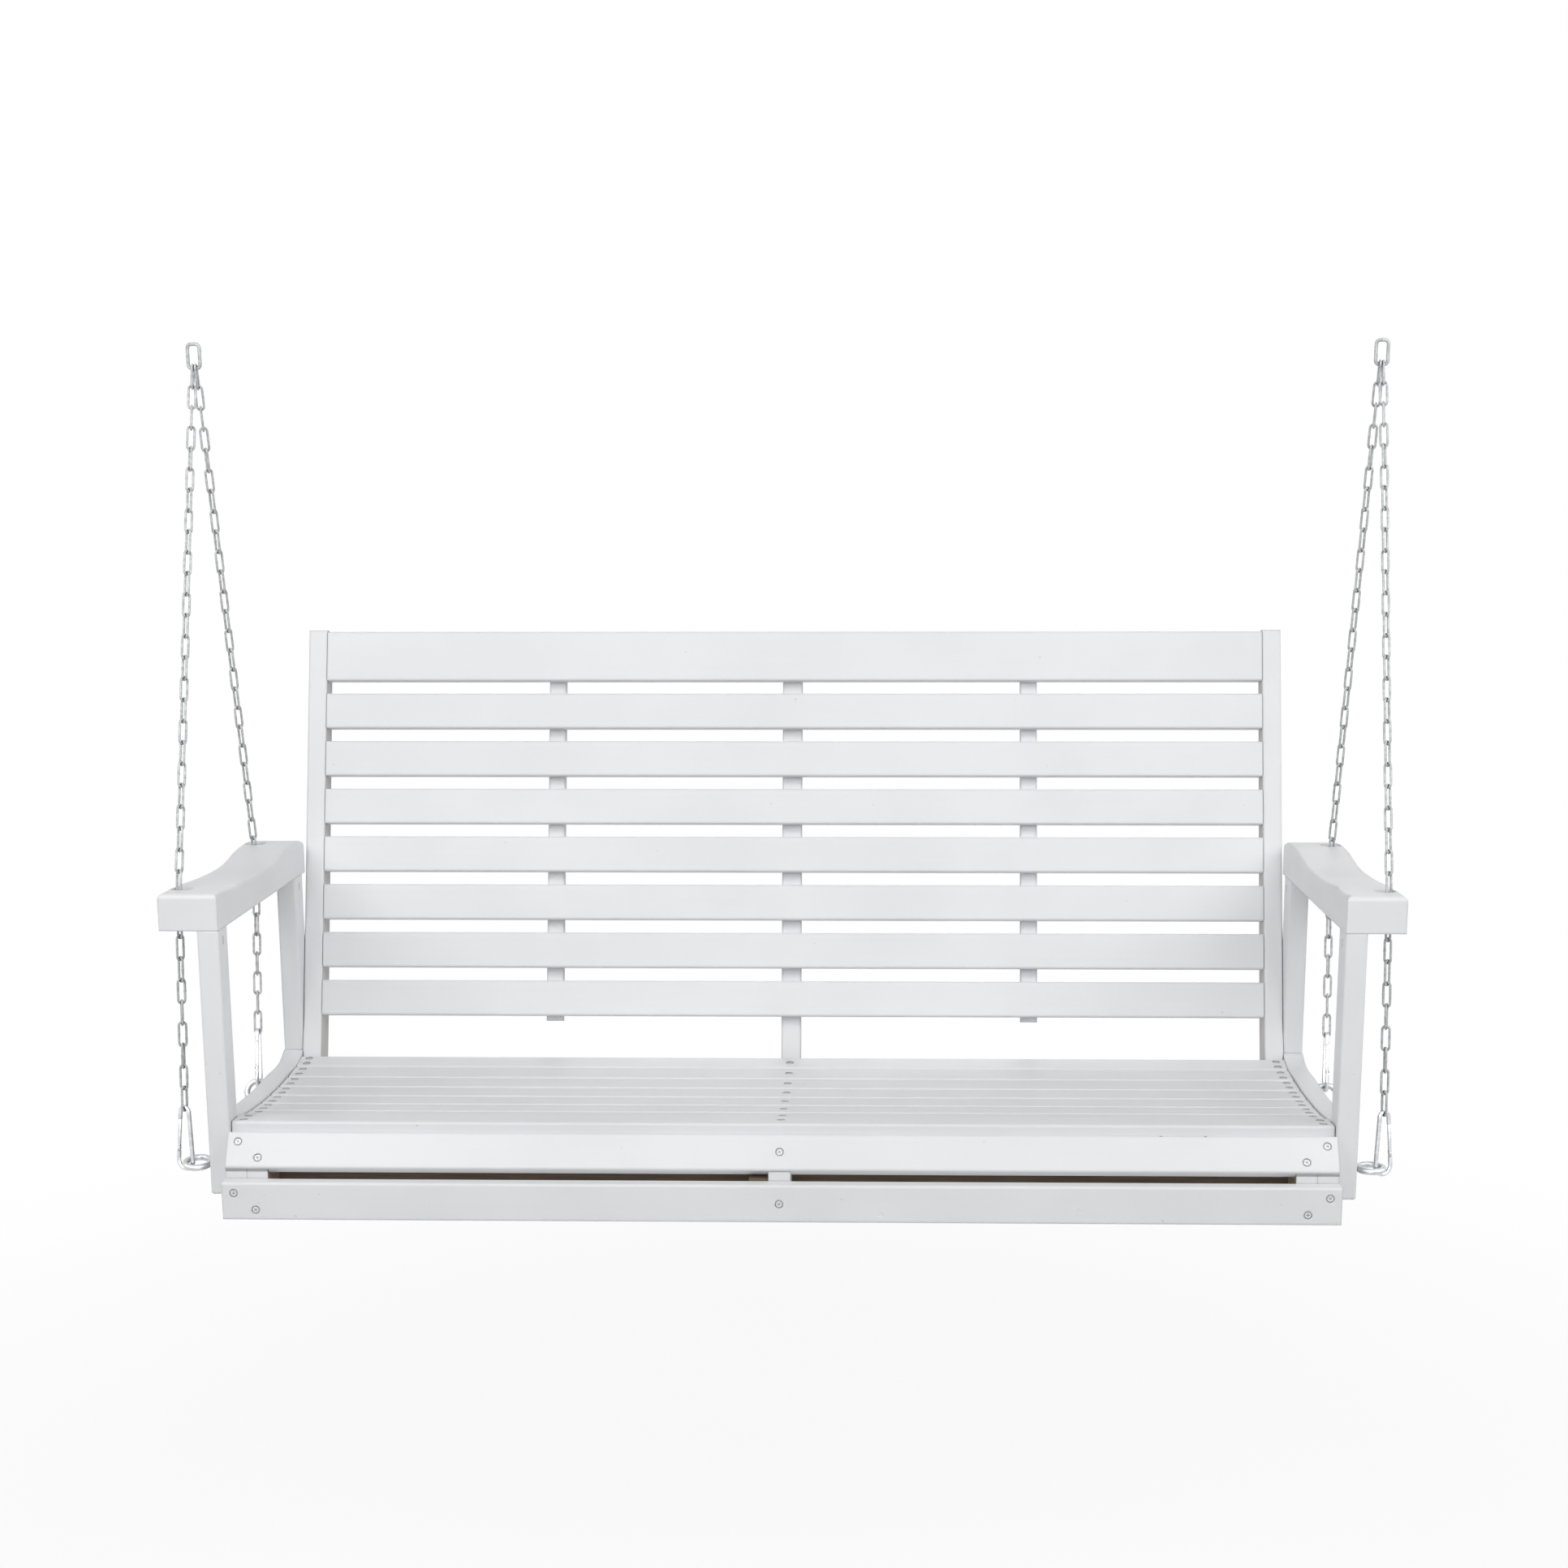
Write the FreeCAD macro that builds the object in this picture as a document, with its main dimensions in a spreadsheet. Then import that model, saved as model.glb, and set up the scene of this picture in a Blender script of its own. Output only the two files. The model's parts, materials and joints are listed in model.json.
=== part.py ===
import FreeCAD, Part
import math
import os
import re
from FreeCAD import Placement, Rotation, Vector
from Sketcher import Constraint

# Porch swing seat hung on four chain legs.
# Millimetres, +Z up. The front is towards -Y, and +X is to the right of someone who faces the seat.
# In this source a place is given from the apron's front face (y = 0) and lower edge (z = 0).
# Every placement then moves it back by half the depth, so the origin is under the box's middle.

DRIVING = {
    # layers across the seat
    "inner_half": 687.0,          # middle to the inner faces of posts, side rails and arms
    "frame_thick": 27.0,          # posts and side rails
    "support_thick": 26.4,        # seat supports and outer back stiles
    "center_width": 27.5,         # centre stile and centre support
    "slat_end_gap": 1.0,          # seat slat end to side rail
    "apron_overhang": 1.5,
    # boards
    "board_thick": 19.0,
    "slat_width": 49.5,
    "edge_round": 3.0,
    # front posts and arms
    "post_front": 47.5,
    "post_depth": 45.0,
    "post_foot": 17.5,
    "foot_ease": 2.0,
    "arm_under": 355.5,           # arm's underside at the front post's front face
    "arm_slope": 2.9,             # degrees that the arm falls towards the back
    "arm_width": 73.0,
    "arm_nose_thick": 46.0,
    "arm_waist_thick": 36.5,
    "arm_crest_thick": 48.5,
    "arm_round": 6.0,
    "arm_tail": 18.0,             # arm behind the rear post
    "rear_post_gap": 7.8,         # back's foot to the rear post
    # seat curve and what lies on it
    "seat_low": 78.2,
    "dish_from_crown": 344.0,     # crown to the lowest place of the seat
    "crown_y": 58.0,              # front edge of the first slat
    "crown_rise": 31.8,
    "end_lift": 3.5,              # rear corner of the first and of the last slat above the curve
    "seat_gap": 4.0,
    "rear_slat_width": 36.0,
    "rail_rise": 2.0,             # side rail above the slats
    "rail_foot": 18.0,
    "nose_foot_y": 15.5,
    "nose_foot_z": 63.0,
    "nose_angle": 54.0,
    "nose_width": 47.5,
    "apron_height": 48.5,
    "support_foot": 3.0,
    "cleat_width": 24.0,
    "cleat_length": 60.0,
    "inner_rail_foot": 6.0,
    "inner_rail_height": 76.0,
    # back
    "recline": 16.7,
    "stile_above": 602.6,         # stile above the seat
    "stile_below": 68.4,          # stile below the seat
    "stile_top_depth": 38.0,
    "stile_foot_depth": 50.0,
    "first_back_slat": 55.6,
    "back_gap": 18.3,
    "top_rail_width": 70.0,
    "batten_width": 23.5,
    "batten_x": 334.0,
    "center_depth": 26.0,
    "center_drop": 16.0,          # centre stile below the outer stiles' tops
    "stretcher_drop": 15.4,
    "stretcher_width": 52.0,
    "foot_clearance": 2.7,        # last seat slat to the back
    # fasteners
    "screw_head": 9.5,
    "head_height": 1.2,
    "screw_length": 34.0,
    "screw_shank": 4.6,
    "seat_clearance": 0.15,       # round a screw head
    "eye_wire": 8.0,
    "eye_outer": 39.0,
    "eye_stand": 20.5,            # ring centre to the wood's face
    "front_eye_height": 52.0,
    "left_ring_turn": 8.0,        # front left ring, turned up about its shank from lying level
    "rear_ring_turn": 70.0,
    "rear_eye_drop": 30.0,        # below the seat, under the middle of the seventh slat
    "nut_height": 6.5,
    "nut_flats": 13.0,
    "bolt_thick": 6.0,
    "bolt_head": 14.0,
    "bolt_nut": 10.0,
    "bolt_nut_height": 5.0,
    "high_bolt_drop": 22.4,       # back's bolts below the seat, along the stile
    "low_bolt_drop": 54.4,
    "bore_clearance": 0.2,
    "barrel_thick": 10.0,
    "barrel_length": 16.0,
    "barrel_drop": 15.0,          # below the post's upper end
    "stud_in_post": 36.0,
    "stud_in_arm": 20.0,
    # chain, hooks and hangers
    "chain_hole": 27.0,
    "hole_inset": 18.5,           # arm's outer face to the holes' middle
    "front_hole_back": 49.5,      # arm's front face to its front hole
    "rear_hole_back": 5.0,        # rear post's front face to the arm's rear hole
    "chain_wire": 3.0,
    "chain_width": 12.0,
    "chain_pitch": 28.0,          # longest inside length of a link
    "hang_spread": 13.5,          # hanging links further out than the arms' holes
    "hang_y": 350.0,              # over the swing's centre of mass
    "hang_top": 1058.0,
    "hanger_wire": 4.5,
    "hanger_width": 20.0,
    "hanger_length": 35.0,
    "front_leg_turn": 62.0,       # front chain in its hole, turned outwards from the rear side
    "leg_offset": 2.0,            # half the step between the two legs in a hanging link
    "link_clearance": 0.6,
    "hook_wire": 5.5,
    "hook_wide": 28.0,
    "hook_narrow": 19.0,
    "hook_length": 84.0,
    "hook_turn": 25.0,
    "hook_clearance": 0.9,        # hook to the ring it hangs on
    "gate_wire": 4.6,
    "gate_pivot": 22.5,           # above the hook's lower inner bend
    "gate_top": 59.6,
    "gate_pin": 1.8,
    "tongue_thick": 1.8,
    "running_clearance": 0.06,
}

doc = FreeCAD.newDocument("porch_swing_seat")
sheet = doc.addObject("Spreadsheet::Sheet", "Sizes")
for row, (alias, value) in enumerate(DRIVING.items(), 1):
    sheet.set("A%d" % row, alias)
    sheet.set("B%d" % row, str(value))
    sheet.setAlias("B%d" % row, alias)
doc.recompute()


class Millimetres:
    """Reads a driving size from the sheet by its alias."""

    def __getattr__(self, alias):
        return float(sheet.get(alias))


mm = Millimetres()
X, Y, Z = Vector(1, 0, 0), Vector(0, 1, 0), Vector(0, 0, 1)
SIDES = {"left": -1, "right": 1}
HEAD_SIDES, SHANK_SIDES, BOLT_SIDES, WIRE_SIDES, LINK_SIDES = 8, 4, 8, 6, 4
STUD_END = 3.0                    # bolts and studs: thread past the nut, and room past their end


def in_sheet(formula):
    """A formula in aliases, such as "2 * slat_width", as an expression on the sheet."""
    return re.sub(r"[a-z_]+", lambda word: "Sizes." + word.group(), formula)


def bind(thing, what, formula):
    thing.setExpression(what, in_sheet(formula))


# Places that follow from the driving sizes

LEAN = math.radians(mm.recline)
BACK_UP = Vector(0, math.sin(LEAN), math.cos(LEAN))
BACK_IN = Vector(0, math.cos(LEAN), -math.sin(LEAN))


def seat_curve(y):
    """Height of the seat's top at y: a dish that rises to the crown at the front."""
    reach = 1 - (y - mm.crown_y) / mm.dish_from_crown
    return mm.seat_low + mm.crown_rise * reach * reach


def on_seat(y, above=0.0):
    return Vector(0, y, seat_curve(y) + above)


def further_back(y, distance):
    """The y that lies a straight distance further back on the seat curve."""
    low, high = y, y + distance
    for _ in range(40):
        middle = (low + high) / 2
        if (on_seat(middle) - on_seat(y)).Length < distance:
            low = middle
        else:
            high = middle
    return low


def seat_stations():
    """Front and rear top corner of each seat slat, from the front. The outermost two tilt up at the rear."""
    y = mm.crown_y
    found = []
    widths = 7 * [mm.slat_width] + [mm.rear_slat_width]
    for number, width in enumerate(widths, 1):
        front, rear = on_seat(y), on_seat(further_back(y, width))
        if number in (1, len(widths)):
            rear = front + (rear + Z * mm.end_lift - front).normalize() * width
        found.append((front, rear))
        y = further_back(rear.y, mm.seat_gap)
    return found


SEAT_SLATS = seat_stations()
BACK_FOOT = SEAT_SLATS[-1][1] + Y * (mm.foot_clearance + mm.board_thick * math.tan(LEAN))
BACK_TOP = BACK_FOOT + BACK_UP * mm.stile_above
REAR_POST_FRONT = BACK_FOOT.y + mm.rear_post_gap
REAR_POST_REAR = REAR_POST_FRONT + mm.post_depth
ARM_REAR = REAR_POST_REAR + mm.arm_tail
POST_REAR = mm.post_front + mm.post_depth
OUTER_FACE = mm.inner_half + mm.frame_thick
OUTER_LAYER = mm.inner_half - mm.support_thick / 2
INNER_LAYER = mm.inner_half - 1.5 * mm.support_thick
INNER_FACE = mm.inner_half - 2 * mm.support_thick
POST_X = mm.inner_half + mm.frame_thick / 2
ARM_X = mm.inner_half + mm.arm_width / 2
CHAIN_X = mm.inner_half + mm.arm_width - mm.hole_inset
HANG_X = CHAIN_X + mm.hang_spread
HOLES = {"front": mm.post_front + mm.front_hole_back, "rear": REAR_POST_FRONT + mm.rear_hole_back}
CENTER_TOP = BACK_TOP - BACK_UP * mm.center_drop
REARMOST = max((BACK_TOP + BACK_IN * mm.stile_top_depth).y,
               (CENTER_TOP + BACK_IN * (mm.board_thick + mm.center_depth)).y)
TO_ORIGIN = Y * (-REARMOST / 2)
NOSE_LEAN = math.radians(mm.nose_angle)
NOSE_UP = Vector(0, math.cos(NOSE_LEAN), math.sin(NOSE_LEAN))
NOSE_IN = Vector(0, math.sin(NOSE_LEAN), -math.cos(NOSE_LEAN))
NOSE_FOOT = Vector(0, mm.nose_foot_y, mm.nose_foot_z)


def arm_under(y):
    """Height of the arm's underside at y."""
    return mm.arm_under - (y - mm.post_front) * math.tan(math.radians(mm.arm_slope))


def on_back(distance, depth=0.0):
    """A point in the back's plane, a distance up from the seat and a depth behind its front."""
    return BACK_FOOT + BACK_UP * distance + BACK_IN * depth


# How the wooden parts are made


def new_body(label, at=Vector(), turn=Rotation()):
    made = doc.addObject("PartDesign::Body", label)
    made.Label = label
    made.Placement = Placement(at + TO_ORIGIN, turn)
    return made


def new_sketch(owner, role, name):
    plane = [o for o in owner.Origin.OriginFeatures if o.Role == role][0]
    made = owner.newObject("Sketcher::SketchObject", name)
    made.AttachmentSupport = [(plane, "")]
    made.MapMode = "FlatFace"
    return made


def draw_outline(drawing, points, closed=True):
    """Straight lines through points whose y and z become the drawing's own axes."""
    flat = [Vector(p.y, p.z, 0) for p in points]
    ends = flat[1:] + flat[:1] if closed else flat[1:]
    for start, end in zip(flat, ends):
        drawing.addGeometry(Part.LineSegment(start, end))


def padded(owner, drawing, length, midway=True):
    made = owner.newObject("PartDesign::Pad", "Pad")
    made.Profile = drawing
    made.SideType = "Symmetric" if midway else "One side"
    bind(made, "Length", length)
    doc.recompute()
    return made


def rounded(owner, radius, wanted):
    """Rounds those edges of the body that a test picks."""
    base = owner.Tip
    names = ["Edge%d" % i for i, edge in enumerate(base.Shape.Edges, 1) if wanted(edge)]
    made = owner.newObject("PartDesign::Fillet", "Rounding")
    made.Base = (base, names)
    bind(made, "Radius", radius)
    doc.recompute()
    return made


def along(axis):
    """Test for straight edges that run along an axis."""
    return lambda edge: isinstance(edge.Curve, Part.Line) and abs(edge.Curve.Direction.dot(axis)) > 0.999


def drilled(owner, at, axis, bore, depth):
    """Drills a hole from a point along an axis. The point is in the body's own frame."""
    made = owner.newObject("PartDesign::SubtractiveCylinder", "Bore")
    made.Placement = Placement(at, Rotation(Z, axis))
    bind(made, "Radius", bore)
    made.Height = depth
    doc.recompute()
    return made


def cross_hole(owner, place, thick):
    """A hidden bolt hole across a board on edge, from side to side."""
    past = 2 * mm.frame_thick
    bolt_hole(owner, place - X * past, X, thick, 2 * past)


def bolt_hole(owner, at, axis, thick, depth):
    """A hidden hole for a bolt, drawn with as many flat sides as the bolt."""
    made = owner.newObject("PartDesign::SubtractivePrism", "BoltHole")
    made.Polygon = BOLT_SIDES
    made.Placement = Placement(at, Rotation(Z, axis))
    bind(made, "Circumradius", thick + " / 2 + bore_clearance")
    made.Height = depth
    doc.recompute()
    return made


def ring_corners(flats, sides):
    """Corners of a regular outline with a given width over its flats."""
    reach = flats / 2 / math.cos(math.pi / sides)
    turns = [2 * math.pi * (k + 0.5) / sides for k in range(sides)]
    return [Vector(reach * math.cos(t), reach * math.sin(t), 0) for t in turns]


def cut_seats(owner, places):
    """Shallow seats for screw heads in the face z = 0, with as many sides as the heads."""
    drawing = new_sketch(owner, "XY_Plane", "ScrewSeats")
    corners = ring_corners(mm.screw_head + 2 * mm.seat_clearance, HEAD_SIDES)
    for x, y in places:
        around = [corner + Vector(x, y, 0) for corner in corners]
        for start, end in zip(around, around[1:] + around[:1]):
            drawing.addGeometry(Part.LineSegment(start, end))
    cut = owner.newObject("PartDesign::Pocket", "ScrewPocket")
    cut.Profile = drawing
    bind(cut, "Length", "head_height")
    doc.recompute()
    return cut


def lath(label, width, length, at, turn, screws=()):
    """A slat with rounded long edges. Its width runs along its own +Y and its top is z = 0."""
    made = new_body(label, at, turn)
    section = new_sketch(made, "YZ_Plane", "Section")
    wide, thick = float(sheet.evalExpression(in_sheet(width))), mm.board_thick
    draw_outline(section, [Vector(), Y * wide, Y * wide - Z * thick, Z * -thick])
    for side in range(4):
        section.addConstraint(Constraint("Coincident", side, 2, (side + 1) % 4, 1))
        section.addConstraint(Constraint("Vertical" if side % 2 else "Horizontal", side))
    section.addConstraint(Constraint("Coincident", 0, 1, -1, 1))
    across = section.addConstraint(Constraint("DistanceX", 0, 1, 0, 2, wide))
    bind(section, "Constraints[%d]" % across, width)
    down = section.addConstraint(Constraint("DistanceY", 1, 2, 1, 1, thick))
    bind(section, "Constraints[%d]" % down, "board_thick")
    padded(made, section, length)
    rounded(made, "edge_round", along(X))
    if screws:
        cut_seats(made, screws)
    return made


def side_board(label, x, points, thick):
    """A board on edge: an outline in the YZ plane, padded to both sides of x."""
    made = new_body(label, X * x)
    drawing = new_sketch(made, "YZ_Plane", "Outline")
    draw_outline(drawing, points)
    padded(made, drawing, thick)
    return made


# Seat: slats, nose board and apron


def slat_turn(front, rear):
    """Turns a lath's own +Y onto the line from its front to its rear corner."""
    return Rotation(Y, rear - front)


SEAT_LENGTH = "2 * inner_half - 2 * slat_end_gap"
END_SCREW_X = OUTER_LAYER
screw_places = []


def seat_screws(width):
    """Two screws at each end of a seat slat and one over the centre support."""
    quarter = width / 4
    ends = [(side * END_SCREW_X, y) for side in (-1, 1) for y in (quarter, width - quarter)]
    return ends + [(0, width / 2)]


def make_seat_slats():
    for number, (front, rear) in enumerate(SEAT_SLATS, 1):
        last = number == len(SEAT_SLATS)
        width = "rear_slat_width" if last else "slat_width"
        turn = slat_turn(front, rear)
        places = seat_screws(getattr(mm, width))
        lath("seat_slat_%d" % number, width, SEAT_LENGTH, front, turn, places)
        for x, y in places:
            screw_places.append(("seat", front + turn.multVec(Vector(x, y, 0)), turn.multVec(Z)))


def front_screws(width):
    """Screws of the nose board and the apron: high at the ends, low further in, one in the middle."""
    high, low = width * 0.72, width * 0.28
    ends = [(side * x, y) for side in (-1, 1) for x, y in ((END_SCREW_X, high), (INNER_LAYER, low))]
    return ends + [(0, width / 2)]


def make_nose_board():
    turn = Rotation(X, mm.nose_angle)
    places = front_screws(mm.nose_width)
    lath("nose_board", "nose_width", "2 * inner_half", NOSE_FOOT, turn, places)
    for x, y in places:
        screw_places.append(("front", NOSE_FOOT + turn.multVec(Vector(x, y, 0)), turn.multVec(Z)))


def make_apron():
    turn = Rotation(X, 90)
    places = front_screws(mm.apron_height)
    lath("front_apron", "apron_height", "2 * inner_half + 2 * apron_overhang", Vector(), turn, places)
    for x, y in places:
        screw_places.append(("front", Vector(x, 0, y), -Y))


# Seat frame: supports, side rails, posts and arms


def slat_beds():
    """Points of the supports' top edge, one flat under each seat slat, from the front."""
    points = []
    for front, rear in SEAT_SLATS:
        down = (rear - front).normalize().cross(X) * -mm.board_thick
        points += [front - down, rear - down] if down.z > 0 else [front + down, rear + down]
    return points


def crossing(start, way, other, other_way):
    """Where two lines in the YZ plane cross."""
    return start + way * ((other - start).cross(other_way).x / way.cross(other_way).x)


def support_outline(rear_end):
    """Outline of a seat support, from the apron back to a cut along the back's plane."""
    nose_seat = NOSE_FOOT + NOSE_IN * mm.board_thick
    beds = slat_beds()
    nose_top = crossing(nose_seat, NOSE_UP, beds[0], beds[1] - beds[0])
    ledge = NOSE_FOOT + NOSE_IN * 5
    top = [Vector(0, mm.board_thick, ledge.z), ledge, nose_seat, nose_top]
    top += [p for p in beds if p.y > nose_top.y]
    rear_top = BACK_FOOT + BACK_IN * rear_end
    rear_low = rear_top - BACK_UP * (mm.stile_below - 4)
    rear_up = rear_top + BACK_UP * ((beds[-1].z - rear_top.z) / BACK_UP.z)
    front_low = Vector(0, mm.board_thick, mm.support_foot)
    return [front_low] + top + [rear_up, rear_low]


REAR_EYE_Y = sum(corner.y for corner in SEAT_SLATS[-2]) / 2
EYE_PLACES = {
    "front": Vector(0, mm.post_front + mm.post_depth / 2, mm.front_eye_height),
    "rear": on_seat(REAR_EYE_Y, -mm.rear_eye_drop),
}
BACK_BOLTS = [on_back(-drop, mm.stile_foot_depth / 2) for drop in (mm.high_bolt_drop, mm.low_bolt_drop)]


def across_ring(end, sign):
    """Across a ring, square to its shank. A front ring lies nearly level, a rear ring stands up."""
    turn = mm.rear_ring_turn if end == "rear" else mm.left_ring_turn * (sign < 0)
    return Y * math.cos(math.radians(turn)) + Z * math.sin(math.radians(turn))


def make_supports():
    for name, x, rear_end in (("outer", OUTER_LAYER, 0), ("inner", INNER_LAYER, mm.stile_foot_depth)):
        for side, sign in SIDES.items():
            label = "seat_support_%s_%s" % (name, side)
            made = side_board(label, sign * x, support_outline(rear_end), "support_thick")
            for place in EYE_PLACES.values():
                cross_hole(made, place, "eye_wire")
            if name == "inner":
                for place in BACK_BOLTS:
                    cross_hole(made, place, "bolt_thick")
    side_board("seat_support_center", 0, support_outline(0), "center_width")
    foot = mm.support_foot
    low_top = (NOSE_FOOT + NOSE_IN * mm.board_thick).z - 1.5
    block = [Vector(0, mm.board_thick, foot), Vector(0, mm.board_thick + mm.cleat_length, foot)]
    block += [block[1] + Z * (low_top - foot), block[0] + Z * (low_top - foot)]
    cleat_x = -(mm.center_width + mm.cleat_width) / 2
    side_board("apron_cleat", cleat_x, block, "cleat_width")
    make_inner_rails()


def make_inner_rails():
    """Two bare boards on edge, between the centre support and the inner supports."""
    turn = Rotation(X, 90)
    front = mm.board_thick + mm.cleat_length
    middle = (INNER_FACE + mm.center_width / 2) / 2
    length = "inner_half - 2 * support_thick - center_width / 2"
    for side, sign in SIDES.items():
        foot = Vector(sign * middle, front, mm.inner_rail_foot)
        made = new_body("inner_rail_" + side, foot, turn)
        section = new_sketch(made, "YZ_Plane", "Section")
        high, thick = mm.inner_rail_height, mm.board_thick
        draw_outline(section, [Vector(), Y * high, Y * high - Z * thick, Z * -thick])
        padded(made, section, length)


def make_side_rails():
    """Side rails between the posts: their top follows the seat and ends level under the rear post."""
    step_y = REAR_POST_FRONT - 22
    shelf = Vector(0, REAR_POST_FRONT - 6, seat_curve(step_y) + mm.rail_rise + 6)
    stations = [POST_REAR + (step_y - POST_REAR) * i / 5 for i in range(6)]
    crest = [on_seat(y, mm.rail_rise) for y in stations] + [shelf]
    curve = Part.BSplineCurve()
    curve.interpolate([Vector(p.y, p.z, 0) for p in crest])
    rear = Vector(0, REAR_POST_REAR, shelf.z)
    rest = [shelf, rear, Vector(0, REAR_POST_REAR, mm.rail_foot), Vector(0, POST_REAR, mm.rail_foot), crest[0]]
    for side, sign in SIDES.items():
        made = new_body("side_rail_" + side, X * sign * POST_X)
        drawing = new_sketch(made, "YZ_Plane", "Outline")
        drawing.addGeometry(curve)
        draw_outline(drawing, rest, closed=False)
        padded(made, drawing, "frame_thick")
        cross_hole(made, EYE_PLACES["rear"], "eye_wire")
        for place in BACK_BOLTS:
            cross_hole(made, place, "bolt_thick")
    return shelf.z


def post_outline(front, rear, foot):
    return [Vector(0, front, foot), Vector(0, rear, foot), Vector(0, rear, arm_under(rear)),
            Vector(0, front, arm_under(front))]


def ease_foot(post, foot):
    """A front post's foot hangs free, so the edges round it are taken off."""
    base = post.Tip
    names = ["Edge%d" % i for i, edge in enumerate(base.Shape.Edges, 1) if edge.BoundBox.ZMax < foot + 1]
    made = post.newObject("PartDesign::Chamfer", "EasedFoot")
    made.Base = (base, names)
    bind(made, "Size", "foot_ease")
    doc.recompute()


def make_posts(shelf):
    """Front and rear posts. Their upper ends are cut to the arm's slope."""
    kinds = {
        "front": (mm.post_front, POST_REAR, mm.post_foot),
        "rear": (REAR_POST_FRONT, REAR_POST_REAR, shelf),
    }
    studs = []
    for kind, (front, rear, foot) in kinds.items():
        middle = (front + rear) / 2
        top = Vector(0, middle, arm_under(middle))
        for side, sign in SIDES.items():
            made = side_board("%s_post_%s" % (kind, side), sign * POST_X,
                              post_outline(front, rear, foot), "frame_thick")
            rounded(made, "edge_round", along(Z))
            if kind == "front":
                ease_foot(made, foot)
            low = mm.stud_in_post + STUD_END
            bolt_hole(made, top - Z * low, Z, "bolt_thick", 2 * low)
            barrel = top - Z * mm.barrel_drop - X * sign * mm.frame_thick / 2
            bolt_hole(made, barrel, X * sign, "barrel_thick", mm.barrel_length + mm.bore_clearance)
            if kind == "front":
                cross_hole(made, EYE_PLACES["front"], "eye_wire")
            studs.append((sign, top))
    return studs


def smooth_arcs(knots):
    """Pairs of arcs through points (place, direction), with no kink between them."""
    arcs = []
    for (start, leaving), (end, arriving) in zip(knots, knots[1:]):
        span, both = end - start, leaving + arriving
        turn = 2 * (1 - leaving.dot(arriving))
        if turn < 1e-9:
            reach = span.dot(span) / (4 * span.dot(arriving))
        else:
            lean = span.dot(both)
            reach = (math.sqrt(lean * lean + turn * span.dot(span)) - lean) / turn
        middle = (start + end + (leaving - arriving) * reach) / 2
        arcs += [tangent_arc(start, leaving, middle), tangent_arc(end, arriving * -1, middle)]
    return arcs


def tangent_arc(start, leaving, end):
    """An arc that leaves its start in a direction and reaches its end."""
    chord = end - start
    along_it = leaving.dot(chord)
    sagging = leaving * chord.Length ** 2 - chord * along_it
    angle = math.acos(min(1, along_it / chord.Length))
    if sagging.Length < 1e-9:
        return Part.LineSegment(start, end)
    bulge = sagging.normalize() * (chord.Length / 2 * math.tan(angle / 2))
    return Part.Arc(start, (start + end) / 2 + bulge, end)


def arm_top():
    """The arm's top: a shallow S from the nose over the waist to the crest, and down to the tail."""
    slope = math.radians(mm.arm_slope)
    level = Vector(math.cos(slope), -math.sin(slope), 0)
    crest_y = REAR_POST_FRONT + 6
    waist_y = (HOLES["front"] + crest_y) / 2 + 35
    knots = [(mm.post_front, mm.arm_nose_thick), (waist_y, mm.arm_waist_thick),
             (crest_y, mm.arm_crest_thick), (ARM_REAR, mm.arm_crest_thick - 5)]
    droop = Rotation(Z, -14).multVec(level)
    ways = [level, level, level, droop]
    return [(Vector(y, arm_under(y) + thick, 0), way) for (y, thick), way in zip(knots, ways)]


def make_arms(studs):
    knots = arm_top()
    nose, tail = knots[0][0], knots[-1][0]
    rest = [Vector(0, tail.x, tail.y), Vector(0, ARM_REAR, arm_under(ARM_REAR)),
            Vector(0, mm.post_front, mm.arm_under), Vector(0, nose.x, nose.y)]
    for side, sign in SIDES.items():
        made = new_body("armrest_" + side, X * sign * ARM_X)
        drawing = new_sketch(made, "YZ_Plane", "Profile")
        for arc in smooth_arcs(knots):
            drawing.addGeometry(arc)
        draw_outline(drawing, rest, closed=False)
        padded(made, drawing, "arm_width")
        rounded(made, "arm_round", lambda edge: edge.BoundBox.ZMin > mm.arm_under + 8)
        for hole_y in HOLES.values():
            foot = Vector(sign * (CHAIN_X - ARM_X), hole_y, mm.arm_under - 60)
            drilled(made, foot, Z, "chain_hole / 2", 150)
        for post_sign, top in studs:
            if post_sign == sign:
                foot = top - Z * mm.stud_in_arm + X * sign * (POST_X - ARM_X)
                bolt_hole(made, foot, Z, "bolt_thick", 2 * mm.stud_in_arm + STUD_END)


# Back: stiles, battens, rails and slats


def make_stiles():
    """Outer stiles taper from the foot to the top. The centre stile runs behind the slats."""
    top, foot = mm.stile_above, -mm.stile_below
    tapered = [on_back(foot), on_back(foot, mm.stile_foot_depth), on_back(60, mm.stile_foot_depth),
               on_back(top, mm.stile_top_depth), on_back(top)]
    for side, sign in SIDES.items():
        made = side_board("back_stile_" + side, sign * OUTER_LAYER, tapered, "support_thick")
        rounded(made, "edge_round", lambda edge: along(BACK_UP)(edge) or top_front(edge))
        for place in BACK_BOLTS:
            cross_hole(made, place, "bolt_thick")
    behind, far = mm.board_thick, mm.board_thick + mm.center_depth
    high = top - mm.center_drop
    straight = [on_back(foot, behind), on_back(foot, far), on_back(high, far), on_back(high, behind)]
    center = side_board("back_stile_center", 0, straight, "center_width")
    rounded(center, "edge_round", along(BACK_UP))


def top_front(edge):
    """The edge across a stile's top, at its front."""
    middle = edge.CenterOfMass
    return along(X)(edge) and middle.z > BACK_TOP.z - 1


def back_rows():
    """Lower edges of the back slats and of the top rail, above the seat."""
    step = mm.slat_width + mm.back_gap
    return [mm.first_back_slat + step * i for i in range(8)]


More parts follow.
